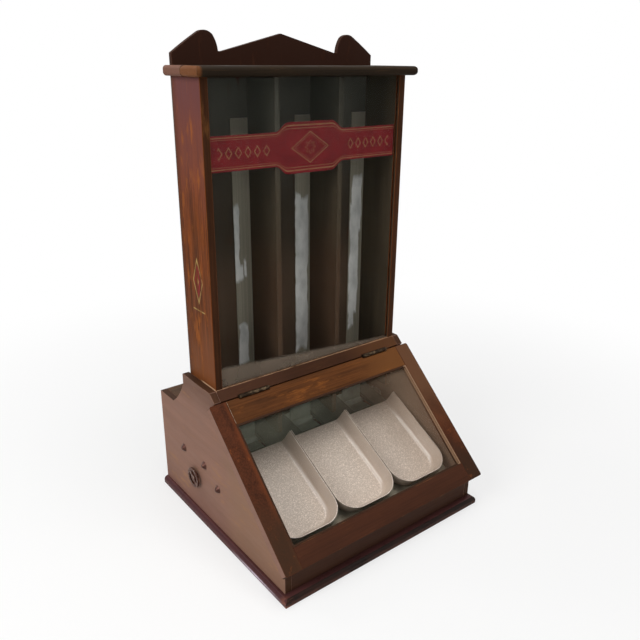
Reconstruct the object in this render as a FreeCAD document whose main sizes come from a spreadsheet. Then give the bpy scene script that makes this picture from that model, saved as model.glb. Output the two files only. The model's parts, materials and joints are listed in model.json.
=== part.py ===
import FreeCAD, Part

import math
import os
import re

import Sketcher

# Glazed counter cabinet that feeds goods from three upright lanes into three sloping trays.
# Millimetres and degrees. X runs left to right, Y from front to back, Z up.
# The origin is the middle of the plinth's underside. Places along Y are measured from the
# plinth's front edge, and the function from_front turns them into the part's own Y.

SIZES = {
    # plinth
    "plinth_overhang": 7.5,
    "plinth_depth": 393.8,
    "plinth_thick": 13.9,
    "plinth_round": 7.2,
    "plinth_under_round": 1.5,
    # base carcase
    "base_half_width": 200,
    "base_front": 12.7,
    "side_thick": 12,
    "side_top": 258.8,
    "deck_top": 190.5,
    "deck_thick": 12,
    "back_thick": 12,
    "cove_start": 345,
    "cove_end": 301,
    "cove_top": 241.5,
    "cove_hollow": 4.8,
    "front_thick": 12,
    # sloping lid
    "lid_front": -5.5,
    "lid_front_top": 62,
    "lid_slope": 42.25,
    "lid_length": 272.3,
    "lid_overhang": 10,
    "lid_thick": 14,
    "lid_gap": 1.6,
    "lid_corner_round": 3.5,
    "stile_wide": 29.3,
    "top_rail_wide": 39.9,
    "bottom_rail_wide": 32.6,
    "glass_thick": 3,
    "glass_play": 0.2,
    "lid_glass_deep": 6,
    "lid_glass_edge": 4.5,
    "bead_wide": 3,
    # lid hinges
    "hinge_inset": 81.5,
    "hinge_half_long": 28,
    "leaf_thick": 1.5,
    "leaf_deep": 12,
    "knuckle_radius": 3.2,
    "knuckle_rise": 1.5,
    "knuckle_play": 0.4,
    "lid_pin_radius": 1.5,
    "running_play": 0.05,
    "end_play": 0.2,
    "hinge_screw_radius": 1.6,
    "hinge_screw_long": 9,
    # tower
    "tower_front": 212,
    "tower_rear": 294,
    "tower_foot": 160,
    "tower_top": 718,
    "tower_side_thick": 12,
    "tower_back_thick": 8,
    "tower_glass_front": 216,
    "tower_glass_edge": 4,
    "tower_glass_foot": 5,
    "tower_glass_head": 2,
    "rail_rear": 224,
    "rail_sill_deep": 14,
    # crest of the back board: half of an outline that is mirrored
    "crest_inset": 3,
    "crest_foot": 128,
    "crest_end_top": 748,
    "crest_shoulder_in": 41,
    "crest_shoulder_top": 775,
    "crest_crown_in": 66,
    "crest_crown_top": 773.3,
    "crest_notch_in": 74.3,
    "crest_notch_top": 750.9,
    "crest_notch_wide": 6.7,
    "crest_peak_top": 777,
    "crest_sweep": 0.5,
    "crest_crown_bow": 4.5,
    "crest_drop_bow": 1.6,
    # top board and loading flap
    "top_overhang": 11.5,
    "top_front": 195.5,
    "top_thick": 14,
    "top_round": 6,
    "top_end_round": 5,
    "flap_axis": 236,
    "flap_play": 0.4,
    "flap_hinge_in": 26,
    "flap_tongue_half": 12,
    "flap_pin_radius": 2,
    "flap_pin_half": 20,
    # lanes
    "partition_thick": 9,
    "partition_front": 220,
    "partition_head": 2,
    "strip_gap": 0.7,
    "strip_wide": 31,
    "strip_thick": 1.2,
    "strip_foot": 152,
    "strip_head": 657,
    # trays
    "tray_slope": 28.2,
    "tray_front": 40,
    "tray_front_rim": 73.8,
    "tray_long": 171,
    "tray_gap": 1.6,
    "tray_shift": -1.6,
    "tray_deep": 28,
    "tray_wall": 1.5,
    "tray_corner": 36,
    "tray_draft": 12,
    "tray_cove": 8,
    "bed_rear": 205.5,
    "board_thick": 8,
    # chute floor and its rail
    "chute_front_top": 130.5,
    "chute_slope": 12,
    "chute_housing": 3,
    "cross_rail_front": 196,
    "cross_rail_rear": 208,
    "cross_rail_foot": 108,
    "slot_play": 3,
    "slot_end_play": 1,
    # spring motor
    "key_place": 274.5,
    "key_height": 75,
    "plate_thick": 2,
    "inner_plate_out": 39,
    "great_module": 1,
    "great_teeth": 72,
    "feed_teeth": 40,
    "second_pinion_teeth": 16,
    "fine_module": 0.8,
    "second_wheel_teeth": 48,
    "governor_pinion_teeth": 12,
    "gear_thick": 3,
    "gear_out": 3.5,
    "second_angle": 196.2,
    "governor_angle": 150,
    "wheel_out": 33.5,
    "wheel_thick": 2,
    "drum_radius": 28,
    "drum_wall": 1.5,
    "drum_long": 24.5,
    "spring_thick": 0.6,
    "spring_turns": 8,
    "spring_play": 1,
    "arbor_radius": 3.5,
    "second_arbor_radius": 2,
    "governor_arbor_radius": 1.5,
    "fly_radius": 15,
    "fly_thick": 1,
    "fly_play": 2,
    "ratchet_radius": 14,
    "ratchet_root": 12,
    "ratchet_teeth": 12,
    "ratchet_face_turn": 0.6,
    "click_reach": 19,
    "click_angle": 112,
    "click_nose_angle": 60,
    "click_nose_reach": 12.5,
    "click_nose_turn": 1.7,
    "click_back_reach": 14.6,
    "click_back_turn": 1.1,
    "click_knee_reach": 14.9,
    "click_knee_turn": 24.9,
    "click_eye_radius": 3.1,
    "click_pin_radius": 1.5,
    "click_spring_thick": 0.8,
    "click_spring_gap": 0.35,
    "click_spring_share": 0.75,
    "pillar_radius": 3.5,
    "rear_pillar_place": 317.5,
    "rear_pillar_height": 44,
    "top_pillar_place": 300,
    "top_pillar_height": 115,
    "front_pillar_place": 197.5,
    "front_pillar_height": 60,
    "foot_pillar_place": 232,
    "foot_pillar_height": 27,
    "motor_rear": 324,
    "motor_front": 190,
    "motor_foot": 20,
    "plate_head_half": 12,
    "plate_head_gap": 1,
    "plate_nose_share": 0.25,
    "plate_slant_share": 0.5,
    "pinion_past": 1,
    "small_pinion_past": 0.5,
    # mounting screws and winding key
    "screw_head_radius": 4.8,
    "screw_head_high": 3.2,
    "screw_radius": 2,
    "screw_past": 0.4,
    "rear_screw_place": 313.7,
    "rear_screw_height": 112.1,
    "middle_screw_place": 242.5,
    "middle_screw_height": 113,
    "front_screw_place": 200.1,
    "front_screw_height": 89.7,
    "bush_radius": 5,
    "bush_flange": 9,
    "bush_flange_thick": 1.5,
    "square_share": 1.2,
    "socket_share": 0.8,
    "screw_cup_radius": 7.3,
    "screw_cup_mouth": 5.4,
    "screw_cup_thick": 2.4,
    "key_hub_radius": 5.6,
    "key_hub_long": 5.5,
    "key_ring_radius": 17.5,
    "key_ring_hole": 12.8,
    "key_ring_thick": 3,
    "key_web_wide": 6.4,
    "key_turn": 43,
    # feed shaft and wheels
    "feed_height": 124,
    "feed_shaft_radius": 4,
    "feed_hub_radius": 9,
    "feed_vane_reach": 38.5,
    "feed_vane_thick": 2.5,
    "feed_half_wide": 22,
    "bearing_half": 12,
    "bearing_thick": 4,
}

# Sizes that follow from those above, as expressions of them.
DERIVED = {
    "inner_half": "base_half_width-side_thick",
    "tower_half": "inner_half-tower_side_thick",
    "plinth_half_width": "base_half_width+plinth_overhang",
    "lid_half_width": "base_half_width+lid_overhang",
    "top_half_width": "inner_half+top_overhang",
    "lane_pitch": "(2*tower_half+partition_thick)/3",
    "tray_half_width": "(lane_pitch-tray_gap)/2",
    "strip_offset": "(lane_pitch-partition_thick-strip_wide)/2-strip_gap",
    "hinge_place": "lid_half_width-hinge_inset",
    "flap_hinge_place": "tower_half-flap_hinge_in",
    "crest_half_width": "inner_half-crest_inset",
    "crest_shoulder": "crest_half_width-crest_shoulder_in",
    "crest_crown": "crest_half_width-crest_crown_in",
    "crest_notch": "crest_half_width-crest_notch_in",
}

SHEET_NAME = "Sizes"
LANES = {"left": -1, "middle": 0, "right": 1}
FULL_TURN = 360.0

doc = FreeCAD.newDocument("CounterCabinet")
sheet = doc.addObject("Spreadsheet::Sheet", SHEET_NAME)
for row, (alias, size) in enumerate(SIZES.items(), start=1):
    sheet.set(f"A{row}", alias.replace("_", " "))
    sheet.set(f"B{row}", str(size))
    sheet.setAlias(f"B{row}", alias)
doc.recompute()

subparts = []


# ---------------------------------------------------------------- expressions


def bound(expression):
    """Writes an expression with the sheet's own cells, so that any object can use it."""

    def name(word):
        if word[0] in DERIVED:
            return f"({bound(DERIVED[word[0]])})"
        return f"{SHEET_NAME}.{word[0]}" if word[0] in SIZES else word[0]

    return re.sub(r"[a-z][a-z0-9_]*", name, expression)


def value(expression):
    """The number that an expression of the sheet's aliases gives now."""
    return float(sheet.evalExpression(bound(expression)))


def from_front(place):
    """The part's own Y for a place measured from the plinth's front edge."""
    return f"({place}-plinth_depth/2)"


def tilted(frame, along, out):
    """Y and Z of a point in a frame that is tilted about X: along the slope, and out of it."""
    place, height, slope = frame
    y = f"({place}+({along})*cos({slope})-({out})*sin({slope}))"
    z = f"({height}+({along})*sin({slope})+({out})*cos({slope}))"
    return y, z


def seen_from(frame, y, z):
    """The place along a tilted frame, and out of it, of a point given by its Y and Z."""
    place_along, height, slope = frame
    along = f"(({y}-{place_along})*cos({slope})+({z}-{height})*sin({slope}))"
    out = f"(({z}-{height})*cos({slope})-({y}-{place_along})*sin({slope}))"
    return along, out


def lane_centre(side):
    return f"({LANES[side]}*lane_pitch)"


LEVEL = (from_front("0"), "0", "0")
LID = (from_front("lid_front"), "lid_front_top", "lid_slope")
TRAY = (from_front("tray_front"), "tray_front_rim", "tray_slope")
KEY = (from_front("key_place"), "key_height", "key_turn")
INNER = "inner_half"
TOWER_INNER = "tower_half"
RAIL_JOINT = "(lid_length+lid_gap)"
RAIL_TOP = "(lid_front_top+(tower_front-lid_front)*tan(lid_slope))"
KNUCKLES = 5
KNUCKLE_ALONG = "(lid_length+lid_gap/2)"
HINGES = {"left": "(-hinge_place)", "right": "hinge_place"}
LID_PLATE = (f"{KNUCKLE_ALONG}-leaf_thick", f"{KNUCKLE_ALONG}-running_play")
RAIL_PLATE = (f"{KNUCKLE_ALONG}+running_play", f"{KNUCKLE_ALONG}+leaf_thick")
SCREW_DEEP = "-leaf_deep*0.6"
ACROSS_EDGE = 90


# ---------------------------------------------------------------- building blocks


def keep(piece, name):
    """Names a sub-part, which is written to a file of that name."""
    piece.Label = name
    subparts.append(piece)
    return piece


def place(piece, x, along, out, frame=LEVEL, turn=None):
    """Binds a piece's placement to the sheet, in a frame that is tilted about X."""
    slope = frame[2]
    y, z = tilted(frame, along, out)
    rotation = turn or FreeCAD.Rotation(FreeCAD.Vector(1, 0, 0), value(slope))
    piece.Placement = FreeCAD.Placement(FreeCAD.Vector(), rotation)
    for axis, expression in zip("xyz", (x, y, z)):
        piece.setExpression(f".Placement.Base.{axis}", bound(expression))
    if turn is None and value(slope):
        piece.setExpression(".Placement.Rotation.Angle", bound(slope))


def box(x, along, out, frame=LEVEL):
    """A block between low and high expressions along X, along the frame and out of it."""
    piece = doc.addObject("Part::Box", "Block")
    for side, (low, high) in zip(("Length", "Width", "Height"), (x, along, out)):
        piece.setExpression(side, bound(f"({high})-({low})"))
    place(piece, x[0], along[0], out[0], frame)
    return piece


ALONG_X = FreeCAD.Rotation(FreeCAD.Vector(0, 1, 0), 90)


def rod(radius, x, along, out, frame=LEVEL):
    """A cylinder along X between two expressions."""
    piece = doc.addObject("Part::Cylinder", "Rod")
    piece.setExpression("Radius", bound(radius))
    piece.setExpression("Height", bound(f"({x[1]})-({x[0]})"))
    place(piece, x[0], along, out, frame, ALONG_X)
    return piece


def fuse(*pieces):
    joined = doc.addObject("Part::MultiFuse", "Joined")
    joined.Shapes = list(pieces)
    return joined


def cut(piece, *tools):
    trimmed = doc.addObject("Part::Cut", "Trimmed")
    trimmed.Base = piece
    trimmed.Tool = tools[0] if len(tools) == 1 else fuse(*tools)
    return trimmed


def group(*pieces):
    """Separate solids of one kind, kept as one sub-part."""
    gathered = doc.addObject("Part::Compound", "Gathered")
    gathered.Links = list(pieces)
    return gathered


def new_body(name, frame=LEVEL):
    body = doc.addObject("PartDesign::Body", "Body")
    keep(body, name)
    if frame is not LEVEL:
        place(body, "0", "0", "0", frame)
    return body


def arc_edge(start, end, bow):
    """An arc from start to end that bulges to the right of the way by bow."""
    way = end - start
    right = FreeCAD.Vector(way.y, -way.x, 0).normalize()
    middle = (start + end) / 2 + right * bow
    return Part.ArcOfCircle(start, middle, end)


def arc_centre(corner, after):
    """The constraint that fixes an arc between two corners: its centre along one axis."""
    run, rise = f"(({after[0]})-({corner[0]}))", f"(({after[1]})-({corner[1]}))"
    chord = f"sqrt({run}^2+{rise}^2)"
    inward = f"(({corner[2]})/2-{chord}^2/(8*({corner[2]})))/{chord}"
    if abs(value(rise)) > abs(value(run)):
        return "DistanceX", f"(({corner[0]})+({after[0]}))/2+{rise}*{inward}"
    return "DistanceY", f"(({corner[1]})+({after[1]}))/2-{run}*{inward}"


def sketch_profile(body, plane, offset, outline, holes=()):
    """A closed outline, counterclockwise, with each corner bound to the sheet.

    A corner is (u, v) or (u, v, bow), where bow makes an arc of the edge that leaves it."""
    sketch = body.newObject("Sketcher::SketchObject", "Profile")
    planes = {feature.Role: feature for feature in body.Origin.OriginFeatures}
    sketch.AttachmentSupport = [(planes[plane], "")]
    sketch.MapMode = "FlatFace"
    sketch.setExpression(".AttachmentOffset.Base.z", bound(offset))
    corners = [FreeCAD.Vector(value(corner[0]), value(corner[1]), 0) for corner in outline]
    bindings = []
    constraints = []
    ends = []
    for index, corner in enumerate(outline):
        start, end = corners[index], corners[(index + 1) % len(outline)]
        bow = value(corner[2]) if len(corner) > 2 else 0
        edge = arc_edge(start, end, bow) if bow else Part.LineSegment(start, end)
        sketch.addGeometry(edge, False)
        ends.append((2, 1) if bow < 0 else (1, 2))
    for index, corner in enumerate(outline):
        first = ends[index][0]
        before = (index - 1) % len(outline)
        for kind, expression in zip(("DistanceX", "DistanceY"), corner):
            bindings.append((len(constraints), expression))
            constraints.append(Sketcher.Constraint(kind, -1, 1, index, first, value(expression)))
        constraints.append(Sketcher.Constraint("Coincident", before, ends[before][1], index, first))
        if len(corner) > 2:
            kind, centre = arc_centre(corner, outline[(index + 1) % len(outline)])
            bindings.append((len(constraints), centre))
            constraints.append(Sketcher.Constraint(kind, -1, 1, index, 3, value(centre)))
    for u, v, radius in holes:
        centre = FreeCAD.Vector(value(u), value(v), 0)
        circle = sketch.addGeometry(Part.Circle(centre, FreeCAD.Vector(0, 0, 1), value(radius)))
        for kind, expression in (("DistanceX", u), ("DistanceY", v)):
            bindings.append((len(constraints), expression))
            constraints.append(Sketcher.Constraint(kind, -1, 1, circle, 3, value(expression)))
        bindings.append((len(constraints), radius))
        constraints.append(Sketcher.Constraint("Radius", circle, value(radius)))
    sketch.addConstraint(constraints)
    for index, expression in bindings:
        sketch.setExpression(f"Constraints[{index}]", bound(expression))
    return sketch


def pad(body, plane, low, high, outline, holes=()):
    """Fills an outline from low to high along the part's axis across the plane."""
    offset = f"-({high})" if plane == "XZ_Plane" else low
    feature = body.newObject("PartDesign::Pad", "Pad")
    feature.Profile = sketch_profile(body, plane, offset, outline, holes)
    feature.setExpression("Length", bound(f"({high})-({low})"))
    body.Tip = feature
    return feature


def pocket(body, plane, low, high, outline):
    """Clears an outline from low to high along the part's axis across the plane."""
    offset = f"-({low})" if plane == "XZ_Plane" else high
    before = body.Tip
    feature = body.newObject("PartDesign::Pocket", "Pocket")
    feature.Profile = sketch_profile(body, plane, offset, outline)
    feature.setExpression("Length", bound(f"({high})-({low})"))
    body.Tip = feature
    doc.recompute()
    if feature.Shape.Volume >= before.Shape.Volume:
        raise RuntimeError(f"a pocket of {body.Label} cuts nothing")
    return feature


def drill(body, plane, low, high, *bores):
    """Round holes from low to high across the plane, each (u, v, radius)."""
    before = body.Tip
    feature = body.newObject("PartDesign::Pocket", "Bores")
    offset = f"-({low})" if plane == "XZ_Plane" else high
    feature.Profile = sketch_profile(body, plane, offset, (), bores)
    feature.setExpression("Length", bound(f"({high})-({low})"))
    body.Tip = feature
    doc.recompute()
    if feature.Shape.Volume >= before.Shape.Volume:
        raise RuntimeError(f"the bores of {body.Label} cut nothing")


def rectangle(u, v):
    """Four corners, counterclockwise, between low and high expressions."""
    return ((u[0], v[0]), (u[1], v[0]), (u[1], v[1]), (u[0], v[1]))


def walked_back(outline):
    """The same outline in the other order, with each arc kept on its own edge."""
    count = len(outline)
    return [(*outline[index % count][:2], *outline[index - 1][2:]) for index in range(count, 0, -1)]


def round_edges(body, radius, chosen):
    """Rounds the edges of a body that pass a test of their middle and direction."""
    doc.recompute()
    before = body.Tip
    names = []
    for index, edge in enumerate(before.Shape.Edges, start=1):
        middle = edge.valueAt((edge.FirstParameter + edge.LastParameter) / 2)
        if chosen(edge, middle):
            names.append(f"Edge{index}")
    feature = body.newObject("PartDesign::Fillet", "Rounding")
    feature.Base = (before, names)
    feature.setExpression("Radius", bound(radius))
    body.Tip = feature


def near(first, second):
    return abs(first - second) < 0.01


def part_feature(shape, name):
    """A sub-part whose outline no sketch or primitive gives well, such as a toothed wheel."""
    feature = doc.addObject("Part::Feature", "Shaped")
    feature.Shape = shape
    return keep(feature, name)


# ---------------------------------------------------------------- base carcase


def bed_height(place_expression, deep):
    """Height of the plane that lies deep under the trays' rims, at a place along Y."""
    return (
        f"(tray_front_rim+({place_expression}-tray_front)*tan(tray_slope)"
        f"-({deep})/cos(tray_slope))"
    )


def chute_height(place_expression, deep="0"):
    """Height of the chute floor at a place along Y, or of the plane that lies deep under it."""
    return (
        f"(chute_front_top+({place_expression}-bed_rear)*tan(chute_slope)"
        f"-({deep})/cos(chute_slope))"
    )


def lid_under(place_expression):
    """Height of the closed lid's underside at a place along Y."""
    return (
        f"(lid_front_top+({place_expression}-lid_front)*tan(lid_slope)"
        f"-lid_thick/cos(lid_slope))"
    )


def build_plinth():
    body = new_body("plinth")
    depth = (from_front("0"), from_front("plinth_depth"))
    outline = rectangle(("-plinth_half_width", "plinth_half_width"), depth)
    pad(body, "XY_Plane", "0", "plinth_thick", outline)
    top, behind = value("plinth_thick"), value(depth[1])

    def upper(edge, middle):
        return near(middle.z, top) and not near(middle.y, behind)

    def lower(edge, middle):
        return near(middle.z, 0) and not near(middle.y, behind)

    round_edges(body, "plinth_round", upper)
    round_edges(body, "plinth_under_round", lower)


def side_outline():
    """Profile of a base side: level deck, hollow cove, tower cheek, lid slope and front."""
    slope_top = from_front("lid_front+(side_top-lid_front_top)/tan(lid_slope)")
    return (
        (from_front("base_front"), "plinth_thick"),
        (from_front("plinth_depth"), "plinth_thick"),
        (from_front("plinth_depth"), "deck_top"),
        (from_front("cove_start"), "deck_top", "-cove_hollow"),
        (from_front("cove_end"), "cove_top"),
        (from_front("cove_end"), "side_top"),
        (slope_top, "side_top"),
        tilted(LID, RAIL_JOINT, "0"),
        tilted(LID, RAIL_JOINT, "-lid_thick"),
        (from_front("base_front"), lid_under("base_front")),
    )


def build_base_sides():
    left = new_body("base_side_left")
    pad(left, "YZ_Plane", "-base_half_width", f"-{INNER}", side_outline())
    holes = [(y, z, "screw_radius+running_play") for y, z in SCREW_PLACES]
    holes.append((from_front("key_place"), "key_height", "bush_radius+running_play"))
    drill(left, "YZ_Plane", "-base_half_width", f"-{INNER}", *holes)
    right = new_body("base_side_right")
    pad(right, "YZ_Plane", INNER, "base_half_width", side_outline())


def build_front_and_back():
    front = new_body("base_front_rail")
    behind = "base_front+front_thick"
    outline = (
        (from_front("base_front"), "plinth_thick"),
        (from_front(behind), "plinth_thick"),
        (from_front(behind), lid_under(behind)),
        (from_front("base_front"), lid_under("base_front")),
    )
    pad(front, "YZ_Plane", f"-{INNER}", INNER, outline)
    inside = (f"-{INNER}", INNER)
    back_depth = (from_front("plinth_depth-back_thick"), from_front("plinth_depth"))
    back = new_body("base_back")
    low, high = "plinth_thick", "deck_top-deck_thick"
    pad(back, "XY_Plane", low, high, rectangle(inside, back_depth))
    deck = new_body("rear_deck")
    deck_depth = (from_front("tower_rear+tower_back_thick"), from_front("plinth_depth"))
    pad(deck, "XY_Plane", "deck_top-deck_thick", "deck_top", rectangle(inside, deck_depth))


def build_bed_and_rails():
    bed = new_body("tray_bed")
    start = "base_front+front_thick"
    outline = (
        (from_front(start), bed_height(start, "tray_deep+board_thick")),
        (from_front("bed_rear"), bed_height("bed_rear", "tray_deep+board_thick")),
        (from_front("bed_rear"), bed_height("bed_rear", "tray_deep")),
        (from_front(start), bed_height(start, "tray_deep")),
    )
    pad(bed, "YZ_Plane", f"-{INNER}", INNER, outline)
    rail = new_body("cross_rail")
    bed_under = "tray_deep+board_thick"
    outline = (
        (from_front("cross_rail_front"), "cross_rail_foot"),
        (from_front("cross_rail_rear"), "cross_rail_foot"),
        (from_front("cross_rail_rear"), chute_height("cross_rail_rear", "board_thick")),
        (from_front("bed_rear"), chute_height("bed_rear", "board_thick")),
        (from_front("bed_rear"), bed_height("bed_rear", bed_under)),
        (from_front("cross_rail_front"), bed_height("cross_rail_front", bed_under)),
    )
    pad(rail, "YZ_Plane", f"-{INNER}", INNER, outline)


def build_chute_floor():
    """Board that the lanes stand on, with a slot in each lane for its feed wheel."""
    body = new_body("chute_floor")
    rear = "tower_rear+chute_housing"
    outline = (
        (from_front("bed_rear"), chute_height("bed_rear", "board_thick")),
        (from_front(rear), chute_height(rear, "board_thick")),
        (from_front(rear), chute_height(rear)),
        (from_front("bed_rear"), chute_height("bed_rear")),
    )
    pad(body, "YZ_Plane", f"-{TOWER_INNER}", TOWER_INNER, outline)
    for side in LANES:
        centre = lane_centre(side)
        half = "(feed_half_wide+slot_play)"
        width = (f"{centre}-{half}", f"{centre}+{half}")
        swing = "(feed_vane_reach+slot_end_play)"
        depth = (f"{FEED_Y}-{swing}", f"{FEED_Y}+{swing}")
        pocket(body, "XY_Plane", "cross_rail_foot", "tower_foot", rectangle(width, depth))


def build_hinge_rail():
    """Fixed sloping rail between the tower's foot and the lid, with a groove for the glass."""
    body = new_body("hinge_rail", LID)
    front, rear = from_front("tower_front"), from_front("rail_rear")
    outline = (
        (RAIL_JOINT, "-lid_thick"),
        seen_from(LID, front, f"{RAIL_TOP}-rail_sill_deep-lid_thick/2"),
        seen_from(LID, front, RAIL_TOP),
        (RAIL_JOINT, "0"),
    )
    pad(body, "YZ_Plane", f"-{INNER}", INNER, outline)
    sill = rectangle((front, rear), (f"{RAIL_TOP}-rail_sill_deep", RAIL_TOP))
    sill = [seen_from(LID, *corner) for corner in sill]
    pad(body, "YZ_Plane", f"-{TOWER_INNER}", TOWER_INNER, sill)
    across = (from_front("tower_glass_front-glass_play"), TOWER_GLASS_BEHIND)
    deep = (f"{RAIL_TOP}-tower_glass_foot-glass_play", f"{RAIL_TOP}+1")
    groove = [seen_from(LID, *corner) for corner in rectangle(across, deep)]
    pocket(body, "YZ_Plane", f"-{TOWER_INNER}", TOWER_INNER, groove)
    for middle in HINGES.values():
        recess_hinge(body, middle, RAIL_PLATE)
        drill_screws(body, middle, (RAIL_PLATE[1], f"{RAIL_PLATE[1]}+hinge_screw_long"))


TOWER_GLASS_BEHIND = from_front("tower_glass_front+glass_thick+glass_play")
SCREW_PLACES = tuple(
    (from_front(f"{which}_screw_place"), f"{which}_screw_height")
    for which in ("rear", "middle", "front")
)
MESH = "((great_teeth+feed_teeth)*great_module/2)"
FEED_Y = f"({from_front('key_place')}-sqrt({MESH}^2-(feed_height-key_height)^2))"


# ---------------------------------------------------------------- trays


def wall_section(thinner):
    """Half section of a tray from a corner's axis outward: flat floor, cove and leaning wall.

    thinner is the sheet's thickness for the hollow inside, and zero for the outside."""
    lean = math.radians(value("tray_draft"))
    reach = value("tray_corner") - thinner
    floor = thinner - value("tray_deep")
    cove = value("tray_cove") + value("tray_wall") - thinner
    height = floor + cove
    centre = FreeCAD.Vector(reach + height * math.tan(lean) - cove / math.cos(lean), 0, height)

    def on_cove(turn):
        return centre + FreeCAD.Vector(math.cos(turn), 0, math.sin(turn)) * cove

    foot, wall = on_cove(-math.pi / 2), on_cove(-lean)
    arc = Part.Arc(foot, on_cove(-(math.pi / 2 + lean) / 2), wall).toShape()
    inner_foot, inner_top = FreeCAD.Vector(0, 0, floor), FreeCAD.Vector(0, 0, 0)
    rim = FreeCAD.Vector(reach, 0, 0)
    sides = [Part.makeLine(inner_foot, foot), arc, Part.makeLine(wall, rim)]
    sides += [Part.makeLine(rim, inner_top), Part.makeLine(inner_top, inner_foot)]
    return Part.Face(Part.Wire(sides)), floor


def tray_block(thinner, long):
    """Solid of a tray's outside or of its hollow, with the rim's middle front at the origin."""
    section, floor = wall_section(thinner)
    corner = value("tray_corner")
    half = value("tray_half_width") - corner
    section.translate(FreeCAD.Vector(half, corner, 0))
    axis = FreeCAD.Vector(half, corner, 0)
    upward = FreeCAD.Vector(0, 0, 1)
    turned = section.copy()
    turned.rotate(axis, upward, -FULL_TURN / 4)
    right = [section.revolve(axis, upward, -FULL_TURN / 4)]
    right.append(section.extrude(FreeCAD.Vector(0, long - corner, 0)))
    left = [piece.mirror(FreeCAD.Vector(), FreeCAD.Vector(1, 0, 0)) for piece in right]
    front = turned.extrude(FreeCAD.Vector(-2 * half, 0, 0))
    middle = Part.makeBox(2 * half, long - corner, -floor, FreeCAD.Vector(-half, corner, floor))
    return middle.fuse([front] + left + right).removeSplitter()


def build_tray(side):
    """Pressed tray, open at the rear: leaning walls, a flat floor and a coved foot."""
    long = value("tray_long")
    hollow = tray_block(value("tray_wall"), long + value("tray_deep"))
    shell = tray_block(0, long).cut(hollow)
    tray = part_feature(shell, f"tray_{side}")
    place(tray, f"({lane_centre(side)}+tray_shift)", "0", "0", TRAY)


# ---------------------------------------------------------------- tower


def build_tower_side(name, low, high, groove):
    body = new_body(name)
    depth = (from_front("tower_front"), from_front("tower_rear"))
    pad(body, "YZ_Plane", low, high, rectangle(depth, ("tower_foot", "tower_top")))
    slot = (from_front("tower_glass_front-glass_play"), TOWER_GLASS_BEHIND)
    foot = f"{RAIL_TOP}-tower_glass_foot-glass_play"
    pocket(body, "YZ_Plane", *groove, rectangle(slot, (foot, "tower_top+1")))


def build_tower_sides():
    edge = f"({TOWER_INNER}+tower_glass_edge+glass_play)"
    build_tower_side("tower_side_left", f"-{INNER}", f"-{TOWER_INNER}", (f"-{edge}", f"-{TOWER_INNER}"))
    build_tower_side("tower_side_right", TOWER_INNER, INNER, (TOWER_INNER, edge))


def crest_half(sign):
    """Corners of the crest from its outer end to its middle, or the mirror of them."""
    return (
        (f"{sign}crest_half_width", "crest_end_top"),
        (f"{sign}crest_shoulder", "crest_shoulder_top"),
        (f"{sign}crest_crown", "crest_crown_top"),
        (f"{sign}crest_notch", "crest_notch_top"),
        (f"{sign}(crest_notch-crest_notch_wide)", "crest_notch_top"),
    )


def build_tower_back():
    """Back board that rises past the top board as a shaped crest."""
    body = new_body("tower_back")
    right = crest_half("1*")
    left = crest_half("-1*")
    bows = ("crest_sweep", "crest_crown_bow", "crest_drop_bow")
    climb = [corner + (bow,) for corner, bow in zip(right, bows)] + list(right[3:])
    fall = [left[4], left[3] + (bows[2],), left[2] + (bows[1],), left[1] + (bows[0],), left[0]]
    outline = [("-crest_half_width", "crest_foot"), ("crest_half_width", "crest_foot")]
    outline += climb + [("0", "crest_peak_top")] + fall
    low, high = from_front("tower_rear"), from_front("tower_rear+tower_back_thick")
    pad(body, "XZ_Plane", low, high, outline)
    rear = "tower_rear+chute_housing"
    housing = (
        (low, chute_height("tower_rear", "board_thick")),
        (from_front(rear), chute_height(rear, "board_thick")),
        (from_front(rear), chute_height(rear)),
        (low, chute_height("tower_rear")),
    )
    pocket(body, "YZ_Plane", f"-{TOWER_INNER}", TOWER_INNER, housing)


def build_partitions():
    """Two boards that part the lanes, notched over the sill of the hinge rail."""
    sill = "rail_rear+glass_play"
    outline = (
        (from_front(sill), chute_height(sill)),
        (from_front("tower_rear"), chute_height("tower_rear")),
        (from_front("tower_rear"), "tower_top-partition_head"),
        (from_front("partition_front"), "tower_top-partition_head"),
        (from_front("partition_front"), f"{RAIL_TOP}+glass_play"),
        (from_front(sill), f"{RAIL_TOP}+glass_play"),
    )
    for side, sign in (("left", "-"), ("right", "")):
        body = new_body(f"lane_partition_{side}")
        middle = f"({sign}lane_pitch/2)"
        half = "partition_thick/2"
        pad(body, "YZ_Plane", f"{middle}-{half}", f"{middle}+{half}", outline)


def build_guide_strip(side):
    middle = f"({lane_centre(side)}+strip_offset)"
    width = (f"{middle}-strip_wide/2", f"{middle}+strip_wide/2")
    depth = (from_front("tower_rear-strip_thick"), from_front("tower_rear"))
    body = new_body(f"guide_strip_{side}")
    pad(body, "XY_Plane", "strip_foot", "strip_head", rectangle(width, depth))


def build_tower_glass():
    half = f"({TOWER_INNER}+tower_glass_edge)"
    depth = (from_front("tower_glass_front"), from_front("tower_glass_front+glass_thick"))
    body = new_body("tower_glass")
    low, high = f"{RAIL_TOP}-tower_glass_foot", "tower_top-tower_glass_head"
    pad(body, "XY_Plane", low, high, rectangle((f"-{half}", half), depth))


TOP_MIDDLE = "(tower_top+top_thick/2)"
TOP_HALF = "(top_thick/2)"


def round_ends(body, low, high):
    """Rounds the upper and lower edges at both ends of a half of the top."""
    near_end, level = "(top_half_width-top_end_round)", f"({TOP_HALF}-top_end_round)"
    for end in ("-", "+"):
        for face in ("-", "+"):
            outline = (
                (near_end, TOP_HALF, "-top_end_round*(1-cos(45))"),
                ("top_half_width", level),
                ("(top_half_width+1)", level),
                ("(top_half_width+1)", f"({TOP_HALF}+1)"),
                (near_end, f"({TOP_HALF}+1)"),
            )
            corner = [(f"0{end}{u}", f"{TOP_MIDDLE}{face}{v}", *bow) for u, v, *bow in outline]
            if end != face:
                corner = walked_back(corner)
            pocket(body, "XZ_Plane", low, high, corner)


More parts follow.
